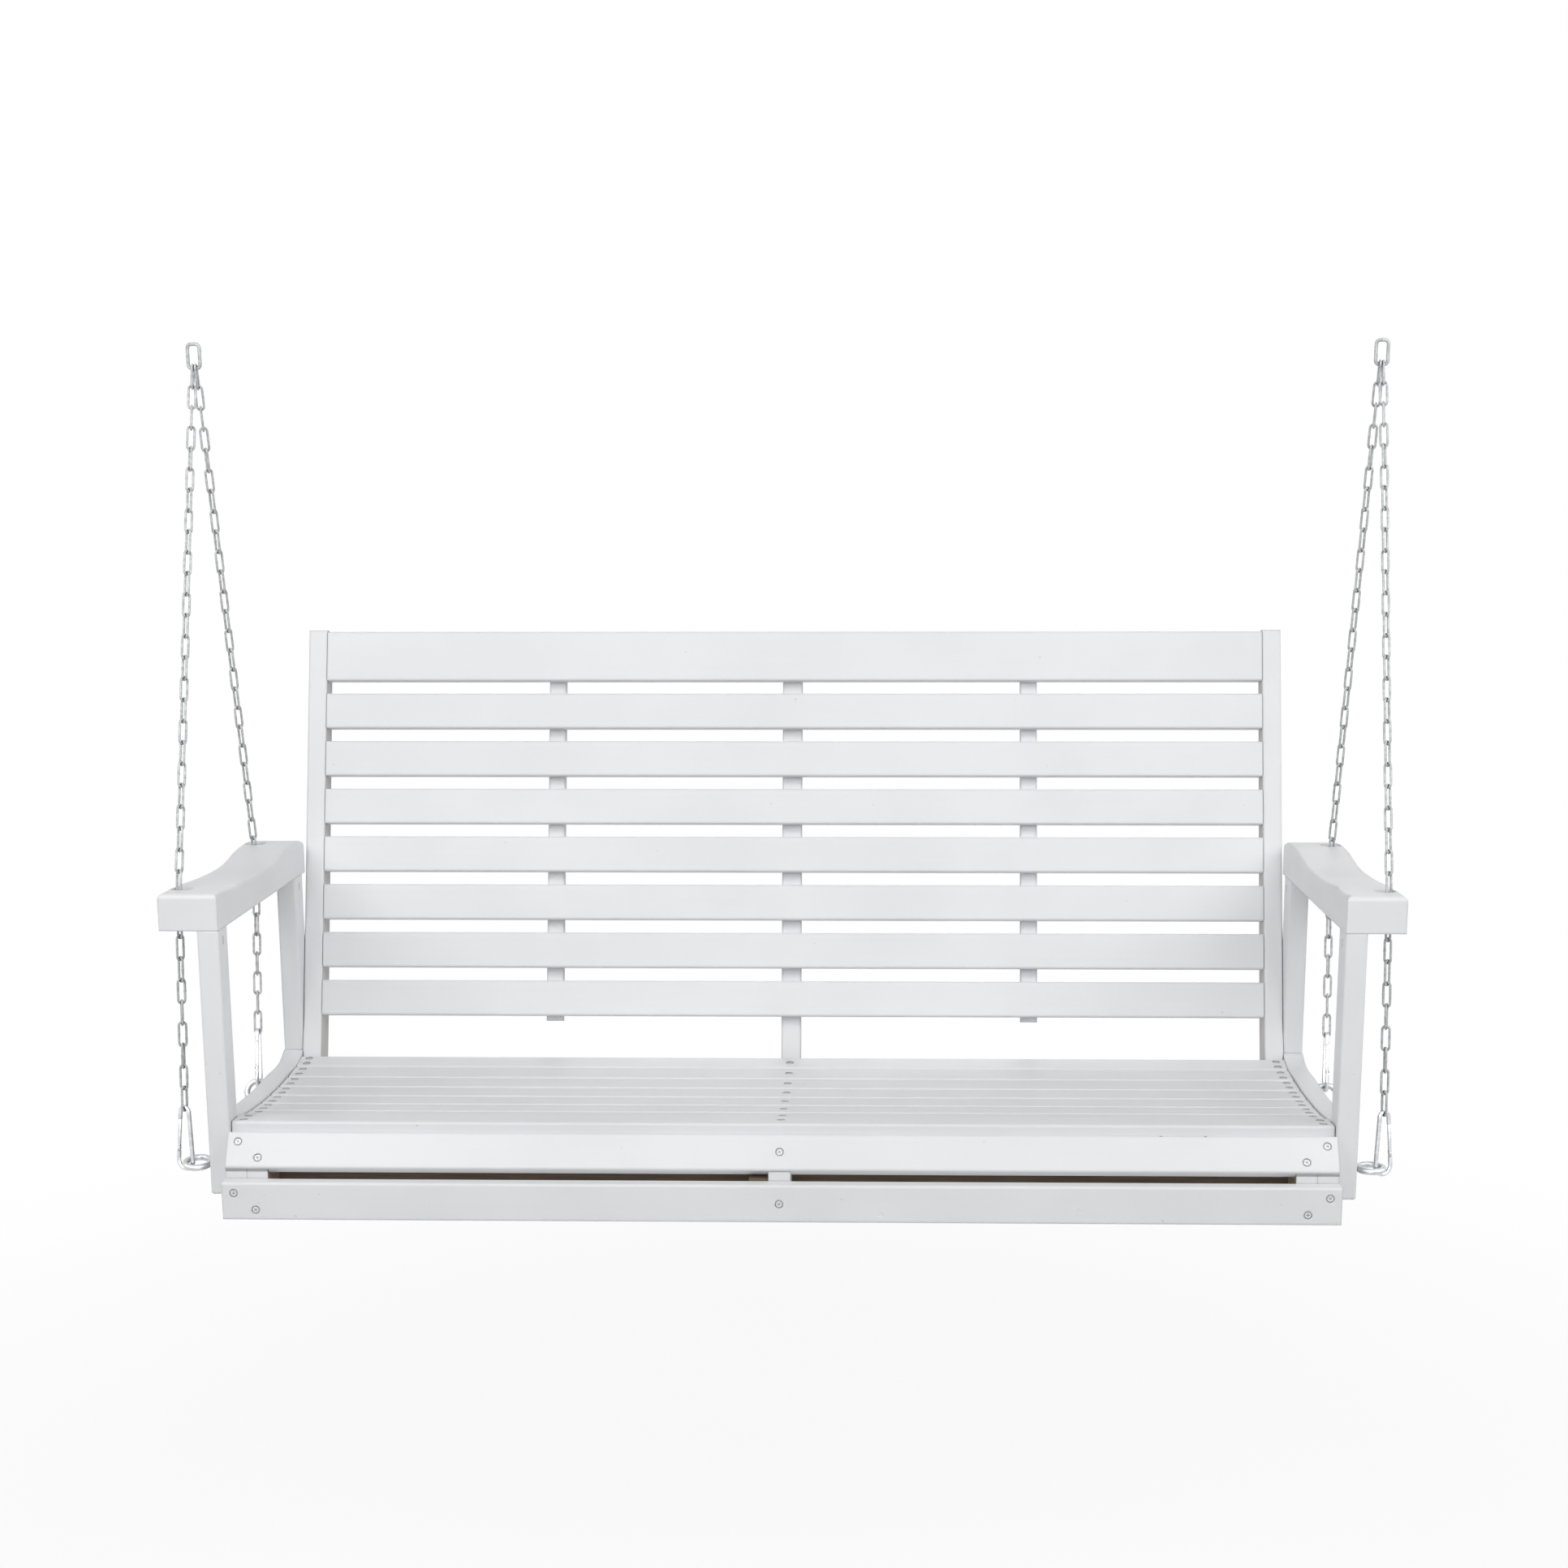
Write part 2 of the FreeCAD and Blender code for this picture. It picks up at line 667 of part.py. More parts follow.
def make_back_slats():
    turn = Rotation(X, 90 - mm.recline)
    length = "2 * inner_half - 2 * support_thick"
    rows = back_rows()
    for number, row in enumerate(rows[:-1], 1):
        lath("back_slat_%d" % number, "slat_width", length, on_back(row), turn)
    lath("back_top_rail", "top_rail_width", length, on_back(rows[-1]), turn)
    drop = -mm.stretcher_drop - mm.stretcher_width
    lath("rear_stretcher", "stretcher_width", length + " - 2 * support_thick", on_back(drop), turn)
    behind, far = mm.board_thick, 2 * mm.board_thick
    low, high = rows[0] - 6, rows[-1] + mm.top_rail_width - 14
    batten = [on_back(low, behind), on_back(low, far), on_back(high, far), on_back(high, behind)]
    for side, sign in SIDES.items():
        made = side_board("back_batten_" + side, sign * mm.batten_x, batten, "batten_width")
        rounded(made, "edge_round", along(BACK_UP))
    for row in rows:
        centre = row + (mm.top_rail_width if row == rows[-1] else mm.slat_width) / 2
        for x, depth in ((-mm.batten_x, far), (0, behind + mm.center_depth), (mm.batten_x, far)):
            head_top = on_back(centre, depth + mm.head_height) + X * x
            screw_places.append(("back", head_top, BACK_IN))


# Metal: everything bent from round wire is swept with few flat sides


def ring_points(middle, radius, start, sweep, count, u, w):
    """Points of an arc in the plane of u and w, angles in degrees."""
    angles = [math.radians(start + sweep * i / count) for i in range(count + 1)]
    return [middle + u * (radius * math.cos(a)) + w * (radius * math.sin(a)) for a in angles]


def bent_wire(points, normal, radius, sides, closed=True):
    """A solid wire with flat sides along a flat path, mitred at each bend.

    The section is as large as the round wire's, and one flat faces each way in the path's plane.
    """
    count = len(points)
    reach = radius * math.sqrt(2 * math.pi / (sides * math.sin(2 * math.pi / sides)))
    turns = [math.pi / 2 + 2 * math.pi * (k + 0.5) / sides for k in range(sides)]
    rings = []
    for i, point in enumerate(points):
        before = point - points[i - 1] if closed or i else points[1] - point
        after = points[(i + 1) % count] - point if closed or i < count - 1 else before
        before, after = Vector(before).normalize(), Vector(after).normalize()
        tangent = (before + after).normalize()
        stretch = 1 / tangent.dot(after)
        inward = normal.cross(tangent) * stretch
        rings.append([point + normal * (reach * math.cos(t)) + inward * (reach * math.sin(t)) for t in turns])
    pairs = list(zip(rings, rings[1:] + rings[:1] if closed else rings[1:]))
    faces = []
    for one, two in pairs:
        for k in range(sides):
            n = (k + 1) % sides
            faces.append(Part.Face(Part.makePolygon([one[k], one[n], two[n], two[k], one[k]])))
    if not closed:
        for ring in (rings[0], rings[-1]):
            faces.append(Part.Face(Part.makePolygon(ring + ring[:1])))
    return outward(Part.makeSolid(Part.makeShell(faces)))


def outward(solid):
    """The solid with its faces turned outwards."""
    if solid.Volume < 0:
        solid.reverse()
    return solid


def feature(label, solids):
    """A node whose shape is made by Part: one solid, or a group of separate solids."""
    made = doc.addObject("Part::Feature", label)
    made.Label = label
    alone = len(solids) == 1
    made.Shape = solids[0] if alone else Part.makeCompound(solids)
    own = solids[0].Placement if alone else Placement()
    made.Placement = Placement(TO_ORIGIN, Rotation()) * own
    return made


def prism(flats, height, sides):
    """An upright prism with a given width over its flats."""
    ring = ring_corners(flats, sides)
    return Part.Face(Part.makePolygon(ring + ring[:1])).extrude(Z * height)


def rod(thick, length):
    """A round rod drawn with flat sides: its corners lie on the round."""
    return Part.Face(Part.makePolygon(round_corners(thick))).extrude(Z * length)


def round_corners(thick):
    """Corners of a rod's or a bolt hole's outline. The first one is on the +X side."""
    turns = [2 * math.pi * k / BOLT_SIDES for k in range(BOLT_SIDES + 1)]
    return [Vector(thick / 2 * math.cos(t), thick / 2 * math.sin(t), 0) for t in turns]


def placed(shape, at, axis):
    """A copy of a shape with its own +Z turned to an axis and moved to a point."""
    copy = shape.copy()
    copy.Placement = Placement(at, Rotation(Z, axis))
    return copy


def make_screws():
    """Wood screws: a flat head whose top is flush, on a shank that bites into the wood behind."""
    head = prism(mm.screw_head, mm.head_height, HEAD_SIDES)
    shank = prism(mm.screw_shank, mm.screw_length - mm.head_height, SHANK_SIDES)
    head.translate(Z * -mm.head_height)
    shank.translate(Z * -mm.screw_length)
    screw = head.fuse(shank).removeSplitter()
    for group in ("front", "seat", "back"):
        solids = [placed(screw, at, axis) for kind, at, axis in screw_places if kind == group]
        feature(group + "_screws", solids)


def make_eye_bolts():
    """Eye bolts through post or rail and both supports, each with a nut on the inside."""
    ring_radius = (mm.eye_outer - mm.eye_wire) / 2
    eyes, nuts = [], []
    shank_length = mm.eye_stand - ring_radius + OUTER_FACE - INNER_FACE + mm.nut_height + 3
    for end, place in EYE_PLACES.items():
        for sign in SIDES.values():
            middle = place + X * sign * (OUTER_FACE + mm.eye_stand)
            across = across_ring(end, sign)
            path = ring_points(middle, ring_radius, 0, 337.5, 15, X, across)
            ring = bent_wire(path, X.cross(across), mm.eye_wire / 2, 8)
            start = middle - X * sign * ring_radius
            shank = placed(rod(mm.eye_wire, shank_length), start, X * -sign)
            eyes.append(ring.fuse(shank))
            nut = prism(mm.nut_flats, mm.nut_height, 6).cut(rod(mm.eye_wire, mm.nut_height))
            nuts.append(placed(nut, place + X * sign * INNER_FACE, X * -sign))
    feature("eye_bolts", eyes)
    feature("eye_bolt_nuts", nuts)


def bolt_dome():
    """Low domed head of a carriage bolt, drawn with flat sides."""
    rise = mm.bolt_head / 4
    rings = [(mm.bolt_head, 0), (mm.bolt_head * 0.85, rise * 0.6), (mm.bolt_head * 0.4, rise)]
    wires = [Part.makePolygon([corner + Z * height for corner in round_corners(wide)]) for wide, height in rings]
    return Part.makeLoft(wires, True, True)


def make_frame_bolts(studs):
    """Bolts through side rail, stile and inner support, and studs with barrel nuts under the arms."""
    bolts, nuts, rods, barrels = [], [], [], []
    grip = OUTER_FACE - INNER_FACE
    for sign in SIDES.values():
        for place in BACK_BOLTS:
            head_at = place + X * sign * OUTER_FACE
            shank = rod(mm.bolt_thick, grip + mm.bolt_nut_height + STUD_END)
            shank.translate(Z * -(grip + mm.bolt_nut_height + STUD_END))
            bolts.append(placed(bolt_dome().fuse(shank), head_at, X * sign))
            nut = prism(mm.bolt_nut, mm.bolt_nut_height, 6).cut(rod(mm.bolt_thick, mm.bolt_nut_height))
            nuts.append(placed(nut, place + X * sign * INNER_FACE, X * -sign))
    for sign, top in studs:
        at = top + X * sign * POST_X
        stud = placed(rod(mm.bolt_thick, mm.stud_in_post + mm.stud_in_arm), at - Z * mm.stud_in_post, Z)
        rods.append(stud)
        barrel = rod(mm.barrel_thick, mm.barrel_length)
        barrel = placed(barrel, top - Z * mm.barrel_drop + X * sign * mm.inner_half, X * sign)
        barrels.append(barrel.cut(stud))
    feature("back_bolts", bolts)
    feature("back_bolt_nuts", nuts)
    feature("arm_studs", rods)
    feature("barrel_nuts", barrels)


# Snap hooks, hanging links and chain


class Leg:
    """One chain leg: its route from the hanging link through the arm's hole to the snap hook."""

    def __init__(self, end, side):
        self.end, self.sign = end, SIDES[side]
        front = end == "front"
        hole_y = HOLES[end]
        slack = (mm.chain_hole - mm.chain_width) / 2 - mm.link_clearance - 1
        aside = math.radians(mm.front_leg_turn if front else 180)
        hole_y += slack * math.cos(aside)
        x = self.sign * (CHAIN_X + slack * math.sin(aside))
        step = mm.leg_offset if front else -mm.leg_offset
        top = mm.hang_top - mm.hanger_length + mm.hanger_wire / 2
        axis_x = self.sign * (HANG_X + step)
        self.pivot = Vector(axis_x, mm.hang_y, top)
        high = Vector(x, hole_y, arm_under(hole_y) + mm.arm_nose_thick)
        low = Vector(x, hole_y, arm_under(hole_y))
        ring_radius = (mm.eye_outer - mm.eye_wire) / 2
        across = across_ring(end, self.sign)
        held_at = X * self.sign if front else across
        wire_way = across if front else X
        eye = EYE_PLACES[end] + X * self.sign * (OUTER_FACE + mm.eye_stand) + held_at * ring_radius
        self.pull = (low - eye).normalize()
        half_wire = mm.eye_wire / 2 / self.pull.cross(wire_way).Length
        self.hook_at = eye - self.pull * (half_wire + mm.hook_clearance)
        gate_side = X * self.sign if front else Y * -1
        out = (gate_side - self.pull * gate_side.dot(self.pull)).normalize()
        self.turn = self.sign * mm.hook_turn if front else 0
        self.out = Rotation(self.pull, self.turn).multVec(out)
        self.normal = self.out.cross(self.pull)
        self.odd = front
        self.hook_top = self.hook_at + self.pull * hook_reach()
        start_pull = (high - self.pivot).normalize()
        start = self.pivot - start_pull * (mm.hanger_wire / 2 + mm.link_clearance)
        bends = [high] if front else [high, low]
        self.route = [start] + bends + [self.hook_top]


def hook_reach():
    """From the hook's lower inner bend to its upper inner bend, along the pull."""
    side_step = (mm.hook_wide - mm.hook_narrow) / 2
    return math.hypot(mm.hook_length - 2 * mm.hook_wire, side_step)


def hook_frame(leg):
    """The hook's own two directions: out over the gate and up, tilted so that the pull is straight."""
    side_step = (mm.hook_wide - mm.hook_narrow) / 2
    tilt = math.atan2(side_step, mm.hook_length - 2 * mm.hook_wire)
    up = leg.pull * math.cos(tilt) - leg.out * math.sin(tilt)
    out = leg.out * math.cos(tilt) + leg.pull * math.sin(tilt)
    return out, up


def make_hooks(legs):
    hooks = []
    for leg in legs:
        out, up = hook_frame(leg)
        wire = mm.hook_wire
        wide, narrow = (mm.hook_wide - wire) / 2, (mm.hook_narrow - wire) / 2
        low_middle = leg.hook_at + up * (wide - wire / 2)
        high_middle = leg.hook_at + up * (mm.hook_length - 1.5 * wire - narrow) + out * (wide - narrow)
        gate_line = leg.hook_at + out * wide
        shoulder = mm.gate_pivot - 4
        path = [gate_line + up * (mm.gate_top + 0.4)]
        path += ring_points(high_middle, narrow, 0, 187, 6, out, up)
        path += ring_points(low_middle, wide, 187, 173, 7, out, up)
        path.append(gate_line + up * shoulder)
        hook = bent_wire(path, leg.normal, wire / 2, WIRE_SIDES, closed=False)
        tongue = Part.makeBox(mm.tongue_thick, 4, 7.5, Vector(-mm.tongue_thick / 2, -2, -1))
        tongue.Placement = frame_at(gate_line + up * shoulder, leg.normal, out, up)
        bore = Part.makeCylinder(mm.gate_pin / 2 + mm.running_clearance, 8,
                                 gate_line + up * mm.gate_pivot - leg.normal * 4, leg.normal)
        hooks.append(hook.fuse(tongue).cut(bore))
        make_gate(leg, gate_line, out, up)
    feature("snap_hooks", hooks)


def frame_at(at, x_axis, y_axis, z_axis):
    """Placement that carries the origin's axes onto three given ones at a point."""
    matrix = FreeCAD.Matrix(x_axis.x, y_axis.x, z_axis.x, at.x, x_axis.y, y_axis.y, z_axis.y, at.y,
                            x_axis.z, y_axis.z, z_axis.z, at.z, 0, 0, 0, 1)
    return Placement(matrix)


def make_gate(leg, gate_line, out, up):
    """The spring gate: a bar whose forked foot straddles the hook's tongue on a riveted pin."""
    radius = mm.gate_wire / 2
    low, high = mm.gate_pivot - 2.5, mm.gate_top
    bar = prism(2 * radius, high - low, WIRE_SIDES)
    bar.translate(Z * low)
    gap = mm.tongue_thick + 0.6
    slot = Part.makeBox(gap, 4 * radius, 6.6, Vector(-gap / 2, -2 * radius, low))
    pin = placed(rod(mm.gate_pin, 2 * radius), Vector(-radius, 0, mm.gate_pivot), X)
    gate = bar.cut(slot).fuse(pin)
    gate.Placement = frame_at(gate_line, leg.normal, out, up)
    side = "left" if leg.sign < 0 else "right"
    feature("snap_gate_%s_%s" % (leg.end, side), [gate])


def chain_link():
    """One link about its own middle: long along Z, wide along X."""
    wire = mm.chain_wire
    length = mm.chain_pitch + wire
    width = mm.chain_width - wire
    half, flat = width / 2, width / 2 * math.tan(math.pi / 8)
    shoulder = length / 2 - (half - flat)
    corner = [(half, shoulder), (flat, length / 2), (-flat, length / 2), (-half, shoulder)]
    path = [Vector(x, 0, z) for x, z in corner] + [Vector(-x, 0, -z) for x, z in corner]
    return bent_wire(path, Y, wire / 2, LINK_SIDES)


def make_chain(leg, link):
    """Links laid along the leg's route. Each is turned a quarter from the one before it."""
    spans = [b - a for a, b in zip(leg.route, leg.route[1:])]
    total = sum(s.Length for s in spans)
    count = math.ceil(total / mm.chain_pitch)
    if (count % 2 == 1) != leg.odd:
        count += 1

    def at(distance):
        for start, span in zip(leg.route, spans):
            if distance <= span.Length + 1e-9:
                return start + span * (distance / span.Length)
            distance -= span.Length
        return leg.route[-1]

    joints = [at(total * i / count) for i in range(count + 1)]
    solids = []
    for i, (upper, lower) in enumerate(zip(joints, joints[1:])):
        down = (lower - upper).normalize()
        sideways = (X - down * X.dot(down)).normalize()
        spread = min(1, i / 6, (count - 1 - i) / 6)
        end_turn = leg.turn if i > count / 2 else 0
        turn = 90 * (i + 1) + leg.sign * 45 * spread - end_turn * (1 - spread)
        wide = Rotation(down, turn).multVec(sideways)
        solid = link.copy()
        solid.Placement = frame_at((upper + lower) / 2, wide, wide.cross(down), down * -1)
        solids.append(solid)
    side = "left" if leg.sign < 0 else "right"
    print("chain", leg.end, side, count, "links", round(total / count, 2), "mm apart")
    feature("chain_%s_%s" % (leg.end, side), solids)


def make_hangers():
    """Two hanging links, the fixed end of the chains. Each has straight ends that both legs share."""
    wire = mm.hanger_wire
    long, wide = (mm.hanger_length - wire) / 2, (mm.hanger_width - wire) / 2
    corner = 5.0
    solids = []
    for sign in SIDES.values():
        middle = Vector(sign * HANG_X, mm.hang_y, mm.hang_top - mm.hanger_length / 2)
        path = []
        for x, z, start in ((1, 1, 0), (-1, 1, 90), (-1, -1, 180), (1, -1, 270)):
            centre = middle + X * (x * (wide - corner)) + Z * (z * (long - corner))
            path += ring_points(centre, corner, start, 90, 3, X, Z)
        solids.append(bent_wire(path, Y * -1, wire / 2, WIRE_SIDES))
    feature("hanging_links", solids)


# Build, test and export

make_seat_slats()
make_nose_board()
make_apron()
make_supports()
shelf_height = make_side_rails()
arm_studs = make_posts(shelf_height)
make_arms(arm_studs)
make_stiles()
make_back_slats()
make_screws()
make_eye_bolts()
make_frame_bolts(arm_studs)
LEGS = [Leg(end, side) for end in ("front", "rear") for side in SIDES]
make_hooks(LEGS)
LINK = chain_link()
for one_leg in LEGS:
    make_chain(one_leg, LINK)
make_hangers()
doc.recompute()

for item in doc.Objects:
    if "Invalid" in item.State or "Error" in item.State:
        raise RuntimeError("%s is %s" % (item.Label, item.State))
nodes = [o for o in doc.Objects if o.TypeId in ("PartDesign::Body", "Part::Feature")]
for node in nodes:
    if node.Shape.isNull() or not node.Shape.isValid():
        raise RuntimeError("%s has no valid shape" % node.Label)

os.makedirs("parts", exist_ok=True)
for node in nodes:
    node.Shape.exportStep("parts/%s.step" % node.Label)
print(len(nodes), "nodes written")
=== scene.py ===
# %% [markdown]
# # A painted porch swing seat
# The swing is a slatted bench of white painted softwood that hangs on four chain legs.
# The carpentry, its fits and its joints come ready made as the frame, one object per board or fitting.
# This lesson dresses it: it paints the boards, then remakes the small bright metal in finer meshes,
# because a chain link or a screw head needs rounder forms than a workshop model carries.

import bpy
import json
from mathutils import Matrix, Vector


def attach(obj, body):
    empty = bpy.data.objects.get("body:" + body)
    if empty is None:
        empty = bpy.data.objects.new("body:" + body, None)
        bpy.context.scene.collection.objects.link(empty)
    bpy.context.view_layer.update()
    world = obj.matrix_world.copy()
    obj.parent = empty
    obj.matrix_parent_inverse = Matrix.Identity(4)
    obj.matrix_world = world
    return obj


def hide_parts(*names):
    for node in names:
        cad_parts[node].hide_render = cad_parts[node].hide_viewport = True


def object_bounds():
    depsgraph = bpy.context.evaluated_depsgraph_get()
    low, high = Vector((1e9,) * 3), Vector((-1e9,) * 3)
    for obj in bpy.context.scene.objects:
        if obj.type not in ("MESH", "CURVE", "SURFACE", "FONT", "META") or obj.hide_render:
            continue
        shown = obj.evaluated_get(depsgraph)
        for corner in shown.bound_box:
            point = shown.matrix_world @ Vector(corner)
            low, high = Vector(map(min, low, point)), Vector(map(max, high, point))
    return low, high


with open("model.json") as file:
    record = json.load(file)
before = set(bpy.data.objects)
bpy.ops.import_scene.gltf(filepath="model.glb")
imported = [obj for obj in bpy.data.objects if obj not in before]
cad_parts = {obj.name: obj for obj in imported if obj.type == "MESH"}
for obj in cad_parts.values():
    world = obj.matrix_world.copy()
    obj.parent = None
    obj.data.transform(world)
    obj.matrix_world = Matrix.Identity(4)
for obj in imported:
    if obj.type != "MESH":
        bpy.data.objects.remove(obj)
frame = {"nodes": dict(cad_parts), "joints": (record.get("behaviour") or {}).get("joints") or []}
cad_box = [list(corner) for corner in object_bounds()]

import json
import math

import bmesh
import bpy
import numpy as np
from mathutils import Matrix, Vector

nodes = frame["nodes"]
joints = {joint["name"]: joint for joint in frame["joints"]}
print("boards and fittings:", len(nodes), "joints:", sorted(joints))

# %% [markdown]
# ## The camera
# The photograph was taken from in front and about a metre up, level with the chains' upper ends, with a
# long lens that looked down a little and slightly to the left. A camera stands by three directions:
# ahead, to the right and down. They are worked out from its angles, so each angle stays a value that can
# be read and changed. The lens didn't point at the picture's middle, because the picture was cropped: a
# small shift says by how much.

# %% Place the camera
PHOTO_SIZE = 1932                      # pixels each way
FOCAL_PIXELS = 3232
LENS_POINTS_AT = (987.1, 1183.5)       # pixel that lies straight ahead of the lens
CAMERA_PLACE = Vector((0.1134, -3.4105, 1.0532))
PITCH_DOWN, YAW_LEFT, ROLL = 0.23087, 0.02772, 0.00361     # radians

ahead = Vector((-math.sin(YAW_LEFT) * math.cos(PITCH_DOWN),
                math.cos(YAW_LEFT) * math.cos(PITCH_DOWN), -math.sin(PITCH_DOWN)))
level_right = Vector((math.cos(YAW_LEFT), math.sin(YAW_LEFT), 0))
level_down = ahead.cross(level_right)
right = level_right * math.cos(ROLL) + level_down * math.sin(ROLL)
down = level_down * math.cos(ROLL) - level_right * math.sin(ROLL)

lens = bpy.data.cameras.new("camera")
lens.sensor_width = 36
lens.lens = lens.sensor_width * FOCAL_PIXELS / PHOTO_SIZE
lens.shift_x = (PHOTO_SIZE / 2 - LENS_POINTS_AT[0]) / PHOTO_SIZE
lens.shift_y = (LENS_POINTS_AT[1] - PHOTO_SIZE / 2) / PHOTO_SIZE
lens.clip_start, lens.clip_end = 0.1, 80
camera = bpy.data.objects.new("camera", lens)
bpy.context.scene.collection.objects.link(camera)
aim = Matrix((right, -down, -ahead)).transposed().to_4x4()
camera.matrix_world = Matrix.Translation(CAMERA_PLACE) @ aim
bpy.context.scene.camera = camera
print("lens %.1f mm, shift %.3f %.3f" % (lens.lens, lens.shift_x, lens.shift_y))

# %% [markdown]
# ## Writing materials as sums
# A material is a small calculation that runs at every point of a surface. Drawn as boxes and wires it
# is hard to read, so here a wire is wrapped in a class that knows plus, minus and times: the sum of two
# wires adds the Math node by itself. Colours and directions go through their own kinds of node.

# %% Wrap a socket
class Wire:
    """A socket of a shader node that can be added, subtracted and multiplied like a number."""

    def __init__(self, sheet, socket):
        self.sheet, self.socket = sheet, socket

    def math(self, operation, *others):
        values = dict(enumerate((self,) + others))
        return self.sheet.node("ShaderNodeMath", {"operation": operation}, values)

    def __add__(self, other):
        return self.math("ADD", other)

    def __sub__(self, other):
        return self.math("SUBTRACT", other)

    def __mul__(self, other):
        return self.math("MULTIPLY", other)

    def __rsub__(self, other):
        return self.sheet.node("ShaderNodeMath", {"operation": "SUBTRACT"}, {0: other, 1: self})

    __radd__, __rmul__ = __add__, __mul__

    def step(self, low, high):
        """0 below one value and 1 above another, with a soft step between them."""
        return self.sheet.node("ShaderNodeMapRange", {"interpolation_type": "SMOOTHSTEP"}, {
            "Value": self, "From Min": low, "From Max": high})


print("a wire takes + - * and step")

# %% [markdown]
# ## A sheet for each finish
# The nodes of one finish lie on one sheet. A single method makes any node: its settings first, because
# they can change which sockets it has, then what goes into the sockets. The short methods under it are
# the few things that wood and zinc need, and each is named for what it measures on the real surface.

# %% Make sheets of nodes
class Sheet:
    """A sheet of shader nodes."""

    def __init__(self, tree):
        self.tree = tree

    def node(self, kind, settings=None, inputs=None, output=0):
        """Adds a node: its settings first, then the values or wires of its sockets."""
        made = self.tree.nodes.new(kind)
        for name, value in (settings or {}).items():
            setattr(made, name, value)
        for name, value in (inputs or {}).items():
            self.feed(made.inputs[name], value)
        return Wire(self, made.outputs[output])

    def feed(self, socket, value):
        if isinstance(value, Wire):
            self.tree.links.new(value.socket, socket)
        elif socket.type == "RGBA":
            socket.default_value = (*value, 1)
        else:
            socket.default_value = value

    def mix(self, share, one, other):
        """A colour between two colours."""
        return self.node("ShaderNodeMix", {"data_type": "RGBA"}, {0: share, 6: one, 7: other}, 2)

    def place(self):
        """The point in the object's own frame, which stays with the wood when the seat swings."""
        return self.node("ShaderNodeTexCoord", output="Object")

    def stretched(self, place, scales):
        """The place with each axis multiplied by its own scale."""
        return self.node("ShaderNodeVectorMath", {"operation": "MULTIPLY"}, {0: place, 1: scales})

    def sideways(self, place):
        """How far a place is from the middle plane of the swing."""
        return self.node("ShaderNodeSeparateXYZ", {}, {"Vector": place}, "X").math("ABSOLUTE")

    def distance(self, place, point):
        """How far a place is from a point."""
        return self.node("ShaderNodeVectorMath", {"operation": "DISTANCE"}, {0: place, 1: point}, "Value")

    def noise(self, place, scale, detail=3.0, roughness=0.5):
        """Soft clouds between 0 and 1: so many to the metre, with so many layers of finer ones."""
        return self.node("ShaderNodeTexNoise", {}, {
            "Vector": place, "Scale": scale, "Detail": detail, "Roughness": roughness})

    def bump(self, height, depth, under=None):
        """A normal from a height between 0 and 1 that stands for a depth in metres."""
        sockets = {"Height": height, "Distance": depth, "Strength": 1.0}
        if under:
            sockets["Normal"] = under
        return self.node("ShaderNodeBump", {}, sockets)

    def soft_edges(self, radius):
        """The normal as if every edge had been rubbed round to a radius."""
        return self.node("ShaderNodeBevel", {"samples": 6}, {"Radius": radius})

    def openness(self, reach):
        """1 where a surface lies open, less where something stands close over it."""
        return self.node("ShaderNodeAmbientOcclusion", {"samples": 8}, {"Distance": reach}, "AO")


class Finish(Sheet):
    """The sheet of one new material, with the shader that is its surface."""

    def __init__(self, name):
        self.material = bpy.data.materials.new(name)
        self.material.use_nodes = True
        super().__init__(self.material.node_tree)
        self.surface = self.tree.nodes["Principled BSDF"]

    def finish(self, **sockets):
        for name, value in sockets.items():
            self.feed(self.surface.inputs[name.replace("_", " ")], value)
        return self.material


print("a sheet can:", ", ".join(name for name in vars(Sheet) if not name.startswith("_")))

# %% [markdown]
# ## Wood grain
# Paint hides a softwood's colour but not its grain, which raises the film in long lines along each board.
# Noise that is stretched along a board gives them, so the stretch is made once for each way that boards
# run. Where no paint covers the wood, the same noise mixes two tones into streaks.

# %% Stretch the grain
LONGWAYS, CROSSWAYS = 1.3, 34          # clouds are long along a board and narrow across it
GRAIN_STRETCH = {"across": (LONGWAYS, CROSSWAYS, CROSSWAYS),
                 "upright": (CROSSWAYS, CROSSWAYS, LONGWAYS),
                 "fore_and_aft": (CROSSWAYS, LONGWAYS, CROSSWAYS)}


def streaked(sheet, place, run, tones):
    """A colour between two tones, streaked along the board, and the streaks."""
    streaks = sheet.noise(sheet.stretched(place, GRAIN_STRETCH[run]), 9.0, 5.0, 0.65)
    tone = sheet.noise(place, 3.0, 2.0)
    return sheet.mix((streaks * 0.7 + tone * 0.3).step(0.3, 0.7), *tones), streaks


print("ways that boards run:", ", ".join(GRAIN_STRETCH))

# %% [markdown]
# ## Chips and dents
# The seat has been handled: paint has chipped off the nose board's upper edge in three places, down to
# brown wood, and the apron has two dents near its lower edge. A mark is every point within a radius of
# its middle. Noise added to the distance makes the rim ragged, so no mark looks stamped.

# %% Place the marks
CHIPS = [((0.470, -0.2985, 0.1003), 0.0035),       # middle and radius in metres
         ((0.497, -0.2975, 0.1008), 0.003),
         ((0.525, -0.2985, 0.1003), 0.0035)]
DENTS = [((0.125, -0.3434, 0.011), 0.004),
         ((0.368, -0.3434, 0.017), 0.004)]


def spots(sheet, place, where, ragged):
    """A mask that is 1 inside small marks with ragged rims."""
    mask = 0.0
    for point, radius in where:
        reach = sheet.distance(place, point) + ragged * radius
        mask = mask + (1 - reach.step(radius * 0.9, radius * 1.4))
    return mask


print("chips:", len(CHIPS), "dents:", len(DENTS))

